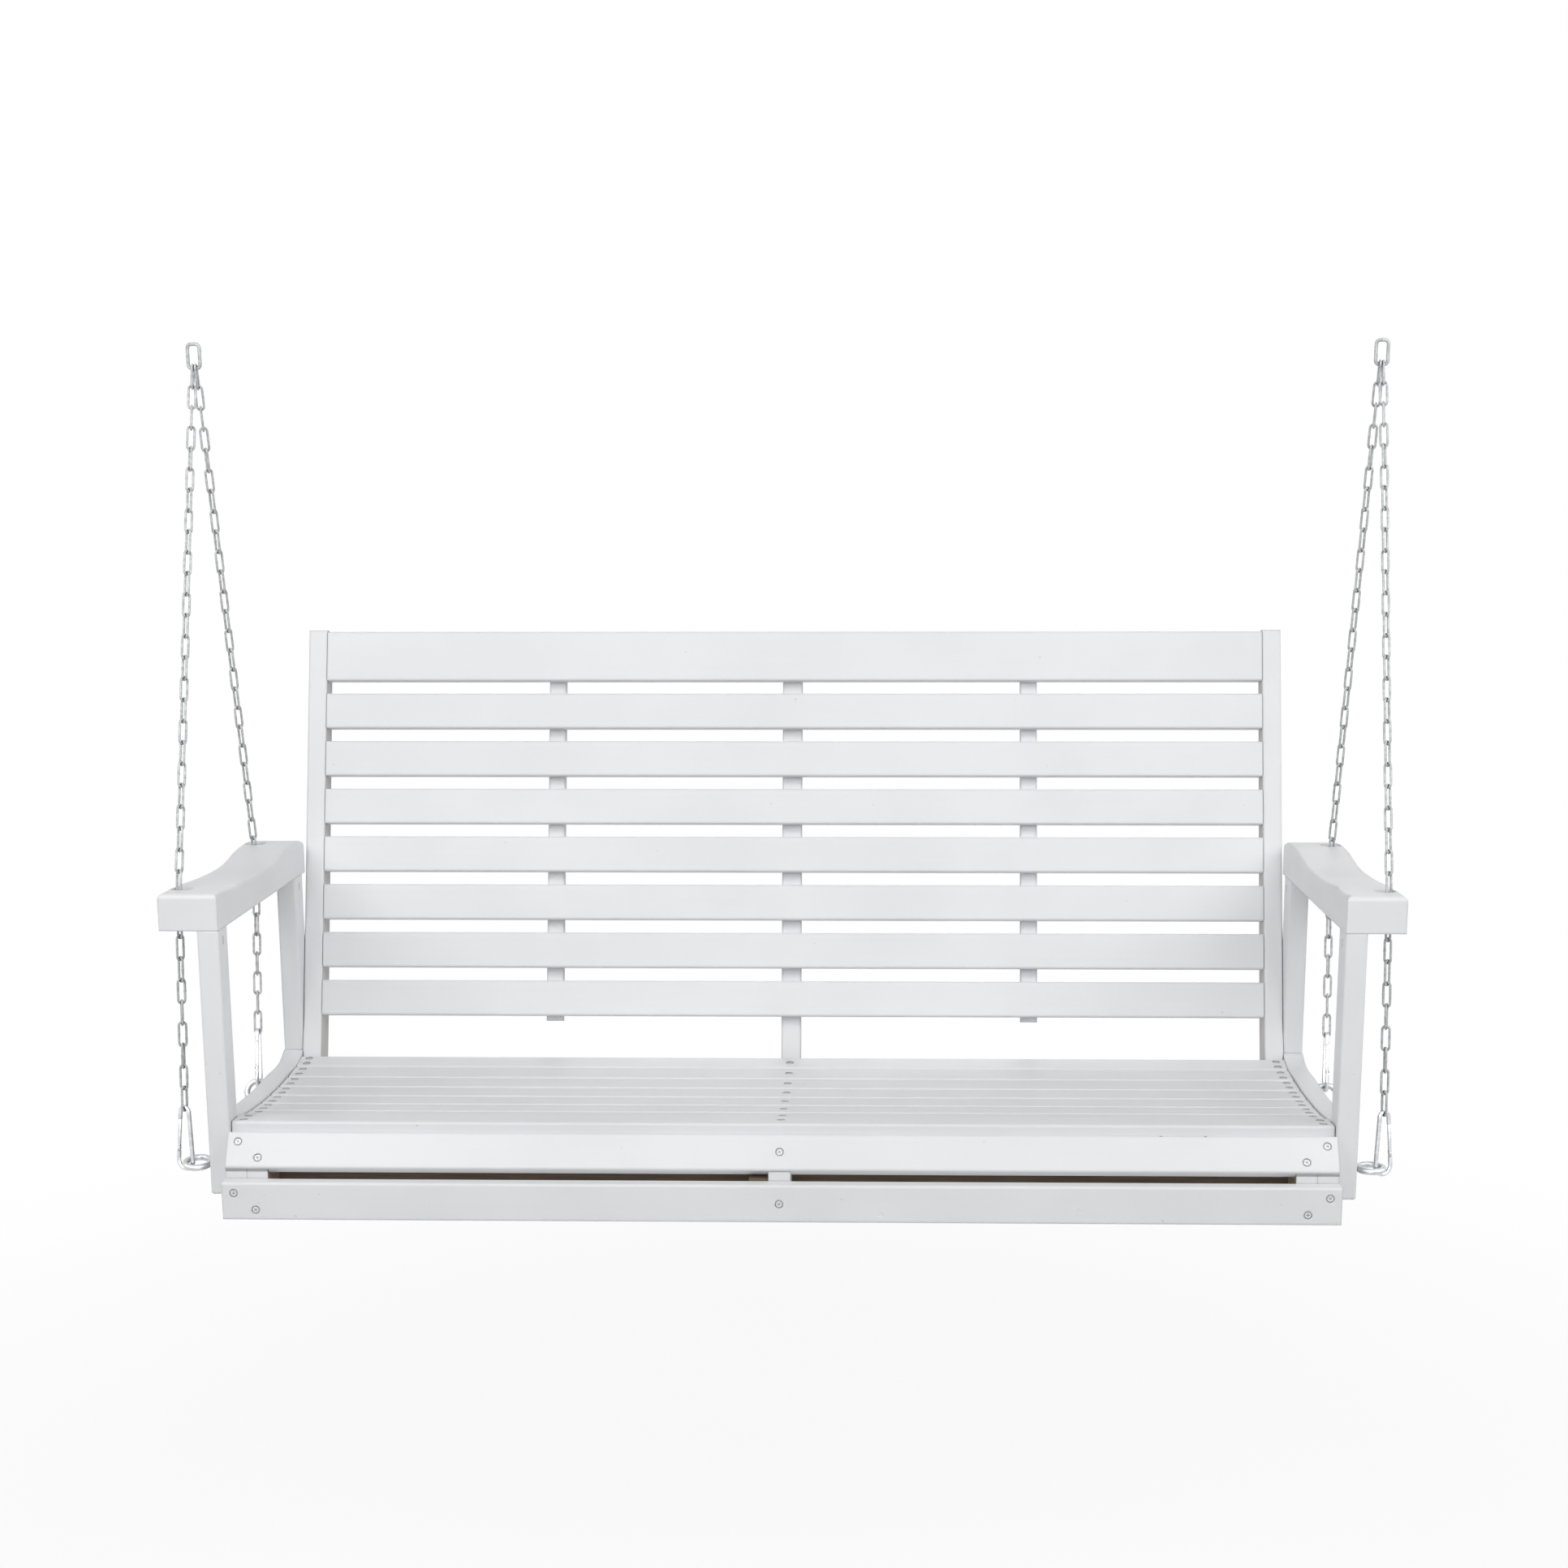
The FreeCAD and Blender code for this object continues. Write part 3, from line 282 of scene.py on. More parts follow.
# %% [markdown]
# ## White paint
# The paint is a satin white that was sprayed on, even and a trace cool. A broad slow noise makes the film
# uneven, a fine one gives the spray's own skin, and specks break the white. Where two boards meet, painted
# shade draws a thin grey line, found by how little of a point lies open. One such line of painted shadow
# is
# drawn by its place: under the nose board, which stands too little proud of the supports' ends to close
# them in. The end supports were painted on their outer faces only, so bare wood shows on their inner
# sides, and the stiles' inner sides are painted a darker grey as painted shade: both take other tones on
# the side that looks to the middle.

# %% Make the paints
PAINT_WHITE, PAINT_SHADE = (0.810, 0.821, 0.838), (0.781, 0.790, 0.805)
# PAINTED_SHADE_GREY is the grey of painted shade in joints and under the nose board
SPECK_GREY, PAINTED_SHADE_GREY, WOOD_BROWN = (0.52, 0.51, 0.49), (0.30, 0.30, 0.305), (0.22, 0.15, 0.10)
BARE_SIDE = (0.36, 0.27, 0.20), (0.26, 0.185, 0.14)        # lighter and darker streaks
# SHADED_SIDE: darker greys painted on the stiles' inner sides as painted shade
SHADED_SIDE = (0.575, 0.555, 0.535), (0.545, 0.525, 0.505)
SIDE_RIM = (0.0002, 0.0007)            # metres from the inner side: its tones up to here, white past there
SHADE_REACH = 0.0035                    # metres from a joint
UNDER_NOSE = (0, -0.3244, 0.0582)      # where the nose board stands proud of the supports' ends
NOSE_SHADOW_RIM = (0.0009, 0.0016)      # from that line: painted shadow up to here, none past there
PAINT_RELIEF, EDGE_ROUNDING = 0.00016, 0.0036


def paint(name, run, inner_face=None, inner_tones=None, shadow_line=None):
    """Satin white for boards that run one way. The side that looks to the middle can have other tones."""
    sheet = Finish(name)
    place = sheet.place()
    grain_place = sheet.stretched(place, GRAIN_STRETCH[run])
    grain = sheet.noise(grain_place, 5.0, 4.0, 0.6)
    fibre = sheet.noise(grain_place, 22.0, 2.0)
    film = sheet.noise(place, 5.5, 2.0)
    spray = sheet.noise(place, 420.0, 1.0)
    ragged = sheet.noise(place, 300.0, 2.0)
    specks = sheet.noise(place, 110.0, 1.0).step(0.80, 0.82)
    chips = spots(sheet, place, CHIPS, ragged)
    dents = spots(sheet, place, DENTS, ragged)
    colour = sheet.mix((film * 0.85 + grain * 0.15).step(0.35, 0.65), PAINT_WHITE, PAINT_SHADE)
    colour = sheet.mix(specks * 0.4, colour, SPECK_GREY)
    colour = sheet.mix(chips, colour, WOOD_BROWN)
    # Painted shade: the paint turns grey where little of a point lies open, in the joints between boards
    colour = sheet.mix(sheet.openness(SHADE_REACH).step(0.10, 0.60), PAINTED_SHADE_GREY, colour)
    # Painted shadow: a grey line on the supports' ends just under the nose board
    if shadow_line:
        from_line = sheet.distance(sheet.stretched(place, (0, 1, 1)), shadow_line)
        colour = sheet.mix((1 - from_line.step(*NOSE_SHADOW_RIM)) * 0.9, colour, PAINTED_SHADE_GREY)
    # On the stiles these inner tones are painted shade, on the supports they are bare wood
    if inner_tones:
        inside = 1 - sheet.sideways(place).step(*[inner_face + reach for reach in SIDE_RIM])
        colour = sheet.mix(inside, colour, streaked(sheet, place, run, inner_tones)[0])
    height = grain * 0.3 + fibre * 0.06 + film * 0.25 + spray * 0.05 - chips * 2.0 - dents * 2.5
    return sheet.finish(Base_Color=colour, Roughness=0.34 + film * 0.12 + grain * 0.08, IOR=1.5,
                        Normal=sheet.bump(height, PAINT_RELIEF, sheet.soft_edges(EDGE_ROUNDING)))


def inner_side(node):
    """How far from the middle plane the inner side of a node stands."""
    return min(abs(corner.co.x) for corner in nodes[node].data.vertices)


paints = {run: paint("paint_" + run, run) for run in GRAIN_STRETCH}
paints["support"] = paint("paint_support", "fore_and_aft", inner_side("seat_support_inner_left"),
                          BARE_SIDE, UNDER_NOSE)
paints["stile"] = paint("paint_stile", "upright", inner_side("back_stile_left"), SHADED_SIDE)
print("paints:", sorted(paints))

# %% [markdown]
# ## Bare wood inside
# Behind the slit between nose board and apron the wood was never painted and is brown. It sees little
# light, and its tones are set darker than bare wood as painted shade, with streaks along the board so that
# it reads as wood.

# %% Make the bare wood
# Brown bare wood, darkened further as painted shade for the slit
BARE_AND_SHADED_WOOD = (0.165, 0.120, 0.085), (0.090, 0.062, 0.043)
WOOD_RELIEF = 0.0003


def bare_wood():
    sheet = Finish("bare_wood")
    colour, streaks = streaked(sheet, sheet.place(), "across", BARE_AND_SHADED_WOOD)
    return sheet.finish(Base_Color=colour, Roughness=0.7 + streaks * 0.15,
                        Normal=sheet.bump(streaks, WOOD_RELIEF))


raw_wood = bare_wood()
print("wood:", raw_wood.name)

# %% [markdown]
# ## Zinc and steel
# Hooks and gates are zinc plated: bright, a little blue, and never quite smooth, because each piece was
# tumbled in a drum with the others. The chain has the same plate but has dulled to a soft grey, with
# hardly any mirror left in it. The eye bolts are dipped in hot zinc, which leaves a thick mottled skin.
# The screw heads carry a trace of the paint, so they are nearly as pale as the boards and shine little.
# One recipe serves all four, since only tone, roughness and the share of metal differ.

# %% Make the metals
PAINTED_CREVICE_SHADE = (0.05, 0.05, 0.052)
METAL_RELIEF = 0.00012


def plated(name, tone, dark, rough, spread, metallic=1.0, shade_reach=0.004):
    """Zinc plate: a metal with mottled roughness and tumbling marks, and painted shade where pieces meet.
    """
    sheet = Finish(name)
    place = sheet.place()
    mottle = sheet.noise(place, 160.0, 4.0, 0.6)
    dents = sheet.noise(place, 620.0, 2.0)
    colour = sheet.mix(mottle.step(0.35, 0.7), tone, dark)
    # Painted shade: darker where pieces close in over a point, in link joints and screw crosses
    colour = sheet.mix(sheet.openness(shade_reach).step(0.25, 0.8), PAINTED_CREVICE_SHADE, colour)
    return sheet.finish(Base_Color=colour, Metallic=metallic, Roughness=rough + mottle * spread,
                        Normal=sheet.bump(mottle * 0.6 + dents * 0.4, METAL_RELIEF))


bright_zinc = plated("bright_zinc", (0.80, 0.81, 0.83), (0.60, 0.62, 0.64),
                     rough=0.16, spread=0.18, shade_reach=0.002)
chain_zinc = plated("chain_zinc", (0.54, 0.555, 0.56), (0.37, 0.38, 0.385),
                    rough=0.50, spread=0.20, metallic=0.4, shade_reach=0.003)
dipped_zinc = plated("dipped_zinc", (0.66, 0.68, 0.69), (0.50, 0.52, 0.53), rough=0.30, spread=0.22)
screw_steel = plated("screw_steel", (0.80, 0.805, 0.81), (0.70, 0.705, 0.71),
                     rough=0.42, spread=0.20, metallic=0.2, shade_reach=0.002)
print("metals:", bright_zinc.name, chain_zinc.name, dipped_zinc.name, screw_steel.name)

# %% [markdown]
# ## Paint every board
# Slats, rails and stretchers run across the seat, posts and stiles stand up, and arms, side rails and
# supports run from front to back. The name of a board tells which, so one loop paints all of them.

# %% Hand out the finishes
FINISHES = (                           # the first row with a word of the node's name decides
    (("chain", "snap", "hanging", "screw", "bolt", "stud", "nut"), screw_steel),
    (("apron_cleat", "inner_rail"), raw_wood),
    (("stile_left", "stile_right"), paints["stile"]),
    (("post", "stile", "batten"), paints["upright"]),
    (("support_inner", "support_outer"), paints["support"]),
    (("armrest", "side_rail", "support"), paints["fore_and_aft"]),
)


def finish_for(node):
    for words, finish in FINISHES:
        if any(word in node for word in words):
            return finish
    return paints["across"]


for name, board in nodes.items():
    slots = board.data.materials
    for index in range(len(slots)):
        slots[index] = finish_for(name)
print("dressed:", len(nodes))

# %% [markdown]
# ## Finding the small pieces
# Screws, links and rings share a node when they are alike. Each of them is an island: faces that touch
# each other and nothing else. Walking over shared corners finds the islands, and an island's longest and
# thinnest directions tell how the piece lies, so a finer piece can be put in its place.

# %% Find the islands of a node
SAME_CORNER = 6                        # decimals of a metre in which two corners agree if they are one


def islands(node):
    """The corner points of each separate solid of a node, and its middle and own directions.

    The directions run from the longest to the thinnest.
    """
    mesh = nodes[node].data
    number_of = {}
    corner = [number_of.setdefault(tuple(round(c, SAME_CORNER) for c in v.co), len(number_of))
              for v in mesh.vertices]
    leader = list(range(len(number_of)))

    def lead(i):
        while leader[i] != i:
            i = leader[i]
        return i

    for edge in mesh.edges:
        a, b = sorted(lead(corner[i]) for i in edge.vertices)
        leader[b] = a
    groups = {}
    for point, i in number_of.items():
        groups.setdefault(lead(i), []).append(point)
    found = []
    for group in groups.values():
        points = np.array(group)
        middle = points.mean(axis=0)
        axes = np.linalg.svd(points - middle)[2]
        found.append((points, Vector(middle), [Vector(axis) for axis in axes]))
    return found


print("links in a front leg:", len(islands("chain_front_left")))

# %% [markdown]
# ## Putting a piece in place
# Every finished piece rides on one body of the swing and names the material slot that it belongs to. If
# it takes over from a rough node, it stands for that node. One helper does all three, so no piece is
# forgotten.

# %% Make a piece from a mesh
def new_piece(name, bm, finish, body, stands_for=(), smooth=40):
    """A finished piece in the swing. Edges sharper than the smooth angle, in degrees, stay crisp."""
    bmesh.ops.recalc_face_normals(bm, faces=bm.faces)
    mesh = bpy.data.meshes.new(name)
    bm.to_mesh(mesh)
    bm.free()
    mesh.materials.append(finish)
    mesh.shade_smooth()
    mesh.set_sharp_from_angle(angle=math.radians(smooth))
    piece = bpy.data.objects.new(name, mesh)
    bpy.context.scene.collection.objects.link(piece)
    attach(piece, body)
    if stands_for:
        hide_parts(*stands_for)
    print("piece:", name, "corners:", len(mesh.vertices))


# %% [markdown]
# ## Rings of corners
# Wire, bolts, nuts and screws are all made of rings: corners round a middle, one ring after the other
# with faces between them. Three helpers carry all of that, so each piece below only says where its rings
# lie and how wide they are.

# %% Join rings of corners
def add_ring(bm, middle, u, w, radii):
    """Corners round a middle in the plane of u and w, one for each radius."""
    corners = []
    for k, radius in enumerate(radii):
        t = 2 * math.pi * k / len(radii)
        corners.append(bm.verts.new(middle + (u * math.cos(t) + w * math.sin(t)) * radius))
    return corners


def bridge(bm, one, two):
    """Faces between two rings with the same number of corners."""
    for k in range(len(one)):
        n = (k + 1) % len(one)
        bm.faces.new((one[k], one[n], two[n], two[k]))


def join(bm, rings, closed=False):
    """Faces from ring to ring, and then over both ends, or from the last ring back to the first."""
    for one, two in zip(rings, rings[1:] + rings[:1] if closed else rings[1:]):
        bridge(bm, one, two)
    if not closed:
        bm.faces.new(rings[0])
        bm.faces.new(rings[-1])


print("ring helpers:", add_ring.__name__, bridge.__name__, join.__name__)

# %% [markdown]
# ## Bent wire
# A link, a hook or a ring is round wire that was bent in a plane. Its mesh is a circle carried along the
# middle line: at each point the circle stands square to the line. The plane's normal keeps the circles
# from twisting, which is why flat bends are so easy to make this way.

# %% Sweep a circle along a flat line
def arc(middle, radius, start, turn, steps, u, w):
    """Points of an arc in the plane of u and w, angles in degrees."""
    angles = [math.radians(start + turn * i / steps) for i in range(steps + 1)]
    return [middle + u * (radius * math.cos(a)) + w * (radius * math.sin(a)) for a in angles]


def sweep(bm, line, normal, radii, sides, closed=True):
    """Adds a tube along a flat line of points. Each point has its own radius."""
    rings = []
    last = len(line) - 1
    for i, (point, radius) in enumerate(zip(line, radii)):
        before = line[i - 1] if closed or i else point
        after = line[(i + 1) % len(line)] if closed or i < last else point
        inward = normal.cross((after - before).normalized())
        rings.append(add_ring(bm, point, normal, inward, [radius] * sides))
    join(bm, rings, closed)


quarter = arc(Vector(), 1, 0, 90, 2, Vector((1, 0, 0)), Vector((0, 0, 1)))
print("a quarter bend in 2 steps:", [(round(point.x, 3), round(point.z, 3)) for point in quarter])

# %% [markdown]
# ## Turned pieces
# A bolt head, a rivet or a shank is the same all round an axis. It is drawn as a profile, pairs of radius
# and height, and each pair becomes a ring. A profile that ends at radius nought closes in a point.

# %% Turn a profile round an axis
def two_across(axis):
    """Two directions square to an axis and to each other."""
    across = axis.orthogonal().normalized()
    return across, axis.cross(across)


def turned(bm, foot, axis, profile, sides, across=None):
    """Adds a turned piece: rings of a radius at a height along the axis from its foot."""
    u = across or two_across(axis)[0]
    w = axis.cross(u)
    rings = []
    for radius, height in profile:
        middle = foot + axis * height
        rings.append(add_ring(bm, middle, u, w, [radius] * sides) if radius else [bm.verts.new(middle)])
    for one, two in zip(rings, rings[1:]):
        if len(one) == 1 or len(two) == 1:
            tip, ring = (one[0], two) if len(one) == 1 else (two[0], one)
            for k in range(sides):
                bm.faces.new((tip, ring[k], ring[(k + 1) % sides]))
        else:
            bridge(bm, one, two)
    for ring in (rings[0], rings[-1]):
        if len(ring) > 1:
            bm.faces.new(ring)


print("across the way up:", [tuple(side) for side in two_across(Vector((0, 0, 1)))])

# %% [markdown]
# ## Chain
# Each leg is a straight link chain of 3 mm wire. A link is two straight sides joined by half circles,
# closed by a weld in the middle of one side that stands slightly proud. The rough chain holds every link
# already, in few faces, so each fine link takes the place and the turn of its own rough one.

# %% Make the chain links
LINK_WIRE, LINK_LENGTH, LINK_WIDTH = 0.003, 0.034, 0.012
LINK_STEPS, LINK_SIDES = 8, 10         # faces along a half circle, and round the wire
WELD = [(-0.0022, 1.0), (-0.0012, 1.1), (0, 1.16), (0.0012, 1.1), (0.0022, 1.0)]     # place, swelling
LEGS = [(end, side) for end in ("front", "rear") for side in ("left", "right")]


def add_link(bm, middle, long, wide, flat):
    """A link about its middle: long and wide directions, and the one square to its plane."""
    radius = LINK_WIRE / 2
    bend = (LINK_WIDTH - LINK_WIRE) / 2
    straight = LINK_LENGTH / 2 - LINK_WIRE / 2 - bend
    high = arc(middle + long * straight, bend, 0, 180, LINK_STEPS, wide, long)
    weld = [middle - wide * bend - long * step for step, _ in WELD]
    low = arc(middle - long * straight, bend, 180, 180, LINK_STEPS, wide, long)
    radii = [radius] * len(high) + [radius * swell for _, swell in WELD] + [radius] * len(low)
    sweep(bm, high + weld + low, flat, radii, LINK_SIDES)


for end, side in LEGS:
    node = "chain_%s_%s" % (end, side)
    bm = bmesh.new()
    links = islands(node)
    for _, middle, (long, wide, flat) in links:
        add_link(bm, middle, long, wide, flat)
    new_piece("links_%s_%s" % (end, side), bm, chain_zinc, "swing", [node], smooth=60)
    print(node, "fine links:", len(links))

# %% [markdown]
# ## Snap hooks
# The hook is one bent wire, wide below and narrow above, open on one side. The wire ends at a shoulder
# with a flat tongue on it, and begins at a nose that hangs over the opening. The joint of each gate gives
# the rivet's place and direction, and the rough gate gives the way up, so hook and gate meet there.

# %% Make the hooks
HOOK_WIRE, HOOK_WIDE, HOOK_NARROW, HOOK_LENGTH = 0.0055, 0.028, 0.019, 0.084
HOOK_TO_LINE = (HOOK_WIDE - HOOK_WIRE) / 2     # from the hook's middle to its wire's middle line
GATE_PIVOT, GATE_TOP = 0.0225, 0.0596          # heights over the inside of the lower bend
SHOULDER, NOSE = GATE_PIVOT - 0.004, GATE_TOP + 0.0004
BACK_TURN = 187                                # degrees, since the back leans in towards the top
TONGUE, TONGUE_WIDTH, TONGUE_LENGTH = 0.0018, 0.0040, 0.0075
TONGUE_RISE = 0.00275                          # from the shoulder to the tongue's middle


def hook_frame(end, side):
    """The hook's lower inner bend, and the directions out over the gate, up and square to its plane."""
    joint = joints["gate_%s_%s" % (end, side)]
    pivot, square = Vector(joint["pos_m"]), Vector(joint["axis"]).normalized()
    up = islands("snap_gate_%s_%s" % (end, side))[0][2][0]
    up = up if up.z > 0 else -up
    out = up.cross(square).normalized()
    nearest = min(islands("snap_hooks"), key=lambda hook: (hook[1] - pivot).length)
    if (pivot - nearest[1]).dot(out) < 0:
        out = -out
    return pivot - up * GATE_PIVOT - out * HOOK_TO_LINE, out, up, square


def add_hook(bm, end, side):
    """The hook's bent wire from nose to shoulder, and the tongue."""
    at, out, up, square = hook_frame(end, side)
    narrow = (HOOK_NARROW - HOOK_WIRE) / 2
    low_middle = at + up * (HOOK_TO_LINE - HOOK_WIRE / 2)
    high_middle = at + up * (HOOK_LENGTH - 1.5 * HOOK_WIRE - narrow) + out * (HOOK_TO_LINE - narrow)
    gate_line = at + out * HOOK_TO_LINE
    line = [gate_line + up * NOSE]
    line += arc(high_middle, narrow, 0, BACK_TURN, 18, out, up)
    line += arc(low_middle, HOOK_TO_LINE, BACK_TURN, 360 - BACK_TURN, 22, out, up)
    line.append(gate_line + up * SHOULDER)
    sweep(bm, line, square, [HOOK_WIRE / 2] * len(line), 14, closed=False)
    tongue = Matrix((square, out, up)).transposed().to_4x4()
    tongue.translation = gate_line + up * (SHOULDER + TONGUE_RISE)
    sizes = Matrix.Diagonal((TONGUE, TONGUE_WIDTH, TONGUE_LENGTH, 1))
    bmesh.ops.create_cube(bm, size=1, matrix=tongue @ sizes)


bm = bmesh.new()
for end, side in LEGS:
    add_hook(bm, end, side)
new_piece("hook_wires", bm, bright_zinc, "swing", ["snap_hooks"])
print("hooks:", len(LEGS))

# %% [markdown]
# ## Gates
# A gate closes each hook: a round bar whose forked foot sits astride the tongue, held by a rivet with two
# domed heads. Each cheek of the fork is the part of the bar's round outside a gap, so it is drawn as an
# outline and given a height. The gate rides on its own body, because it swings inward against a spring.

# %% Make the gates
GATE_WIRE, GATE_TIP = 0.0046, 0.0006           # thickness, and the height of the tip's chamfer
CHEEK_PLAY = 0.0003                            # between tongue and cheek
CHEEK_LOW, CHEEK_HIGH = GATE_PIVOT - 0.0025, GATE_PIVOT + 0.0041
RIVET_RADIUS = 0.0009
RIVET_HEAD = [(RIVET_RADIUS, 1.02), (0.0014, 1.04), (0.0011, 1.16), (0, 1.2)]  # radius, share of the bar's


def add_slab(bm, outline, ends):
    """A solid between two places, with one outline that is added to both."""
    join(bm, [[bm.verts.new(end + point) for point in outline] for end in ends])


def add_gate(bm, end, side):
    """The gate's round bar, the two cheeks of its foot and the rivet through them."""
    at, out, up, square = hook_frame(end, side)
    line = at + out * HOOK_TO_LINE
    radius, gap = GATE_WIRE / 2, TONGUE / 2 + CHEEK_PLAY
    bar = [(radius, CHEEK_HIGH), (radius, GATE_TOP - GATE_TIP), (radius * 0.8, GATE_TOP)]
    turned(bm, line, up, bar, 16, across=square)
    edge = math.acos(gap / radius)
    turns = [edge * (i / 4 - 1) for i in range(9)]
    for sign in (1, -1):
        outline = [square * (sign * radius * math.cos(t)) + out * (radius * math.sin(t)) for t in turns]
        add_slab(bm, outline, [line + up * height for height in (CHEEK_LOW, CHEEK_HIGH)])
        head = [(RIVET_RADIUS, gap * sign)] + [(wide, radius * sign * share) for wide, share in RIVET_HEAD]
        turned(bm, line + up * GATE_PIVOT, square, head, 12)


for end, side in LEGS:
    bm = bmesh.new()
    add_gate(bm, end, side)
    node = "snap_gate_%s_%s" % (end, side)
    new_piece("gate_bar_%s_%s" % (end, side), bm, bright_zinc, node, [node])
print("gates:", len(LEGS))

# %% [markdown]
# ## Screw thread and nuts
# A thread is a ridge that climbs round a rod. On a grid that is wrapped round the axis it is one line of
# arithmetic: the radius falls and rises with the height plus the share of a turn. Only the end that
# carries the nut gets it, since the rest is inside the wood. A nut is a ring whose radius takes turns
# between its corners and its flats.

# %% Cut a thread and a nut
def threaded(bm, foot, axis, radius, length, plain, pitch, sides=16, around=4):
    """Adds a rod that is plain first and threaded for the rest of its length."""
    u, w = two_across(axis)
    count = int((length - plain) / pitch * around)
    heights = [0.0, plain] + [plain + pitch * i / around for i in range(1, count)] + [length]

    def depth(height, k):
        if height == length:
            return 0.7 * pitch
        if height <= plain:
            return 0.1 * pitch
        return 0.6 * pitch * abs(2 * (((height - plain) / pitch + k / sides) % 1) - 1)

    join(bm, [add_ring(bm, foot + axis * height, u, w, [radius - depth(height, k) for k in range(sides)])
              for height in heights])


def hex_nut(bm, foot, axis, flats, height, bore):
    """Adds a nut: six flats, corners turned off at both ends, and a hole."""
    reach, face = flats / math.sqrt(3), flats / 2 * 0.96
    u, w = two_across(axis)
    rings = []
    for radius, up in ((bore, 0), (face, 0), (reach, height * 0.16),
                       (reach, height * 0.84), (face, height), (bore, height)):
        radii = [radius, flats / 2 if radius == reach else radius] * 6
        rings.append(add_ring(bm, foot + axis * up, u, w, radii))
    join(bm, rings, closed=True)


print("a nut 13 mm across its flats is %.1f mm across its corners" % (13 * 2 / math.sqrt(3)))

# %% [markdown]
# ## Eye bolts
# Each ring is forged in one with its bolt. The front rings lie level or nearly so, the rear ones stand
# up and lean a little. A ring is a closed sweep, the bolt a threaded rod that runs through the side of
# the frame to a nut on the inside.

# %% Make the eye bolts and their nuts
EYE_OUTER, EYE_WIRE, EYE_STEPS = 0.039, 0.008, 48
EYE_COLLAR = [(0.98, 0.0), (1.12, 0.0016), (1.0, 0.0036)]      # share of the wire's radius, height
EYE_THREAD, EYE_PITCH = 0.024, 0.00125
EYE_NUT_FLATS, EYE_NUT_HEIGHT = 0.013, 0.0065


def away(middle):
    """The direction from the middle plane of the swing to the side on which a point lies."""
    return Vector((1 if middle.x > 0 else -1, 0, 0))


bm = bmesh.new()
for points, middle, _ in islands("eye_bolts"):
    low, high = Vector(points.min(axis=0)), Vector(points.max(axis=0))
    outward = away(middle)
    ring_middle = (low + high) / 2
    ring_middle.x = outward.x * (max(abs(low.x), abs(high.x)) - EYE_OUTER / 2)
    spread = high - low
    across = Vector((0, spread.y - EYE_WIRE, spread.z - EYE_WIRE)).normalized()
    bend = (EYE_OUTER - EYE_WIRE) / 2
    ring = arc(ring_middle, bend, 0, 360 - 360 / EYE_STEPS, EYE_STEPS - 1, outward, across)
    sweep(bm, ring, outward.cross(across), [EYE_WIRE / 2] * len(ring), 16)
    start = ring_middle - outward * (bend + 0.001)
    length = abs(start.x) - min(abs(low.x), abs(high.x))
    turned(bm, start, -outward, [(EYE_WIRE / 2 * share, height) for share, height in EYE_COLLAR], 16)
    threaded(bm, start, -outward, EYE_WIRE / 2, length, length - EYE_THREAD, EYE_PITCH)
new_piece("eye_rings", bm, dipped_zinc, "swing", ["eye_bolts"])


def nuts_on(node, flats, height, bore):
    """A nut in the place of each rough one, with its hole along the way to the side."""
    bm = bmesh.new()
    for points, middle, _ in islands(node):
        outward = away(middle)
        foot = Vector((outward.x * min(abs(points[:, 0])), middle.y, middle.z))
        hex_nut(bm, foot, outward, flats, height, bore)
    return bm


bm = nuts_on("eye_bolt_nuts", EYE_NUT_FLATS, EYE_NUT_HEIGHT, EYE_WIRE / 2)
new_piece("eye_nuts", bm, dipped_zinc, "swing", ["eye_bolt_nuts"], smooth=25)
print("eye bolts:", len(islands("eye_bolts")))

# %% [markdown]
# ## Hanging links
# Above each arm the two legs of a side meet in one long link, the fixed end of the chains.
# It is the same bent wire again, with a quarter circle at each corner.

# %% Make the hanging links
HANGER_WIRE, HANGER_CORNER = 0.0045, 0.005

bm = bmesh.new()
for points, _, _ in islands("hanging_links"):
    low, high = Vector(points.min(axis=0)), Vector(points.max(axis=0))
    centre = (low + high) / 2
    half = (high - low) / 2
    x_axis, z_axis = Vector((1, 0, 0)), Vector((0, 0, 1))
    line = []
    for x, z, start in ((1, 1, 0), (-1, 1, 90), (-1, -1, 180), (1, -1, 270)):
        bend_at = centre + x_axis * (x * (half.x - HANGER_WIRE / 2 - HANGER_CORNER))
        bend_at += z_axis * (z * (half.z - HANGER_WIRE / 2 - HANGER_CORNER))
        line += arc(bend_at, HANGER_CORNER, start, 90, 8, x_axis, z_axis)
    sweep(bm, line, Vector((0, -1, 0)), [HANGER_WIRE / 2] * len(line), 14)
new_piece("hanger_wires", bm, chain_zinc, "hanging_links", ["hanging_links"])

# %% [markdown]
# ## Countersunk screws
# Slats, nose board and apron are held by screws with a cross recess. The head is flat and lies just below
# the paint, with a thin lip of paint round its seat. The cross is cut as real shape: its outline is a
# hole in the head's top face, and a smaller cross lies deeper.

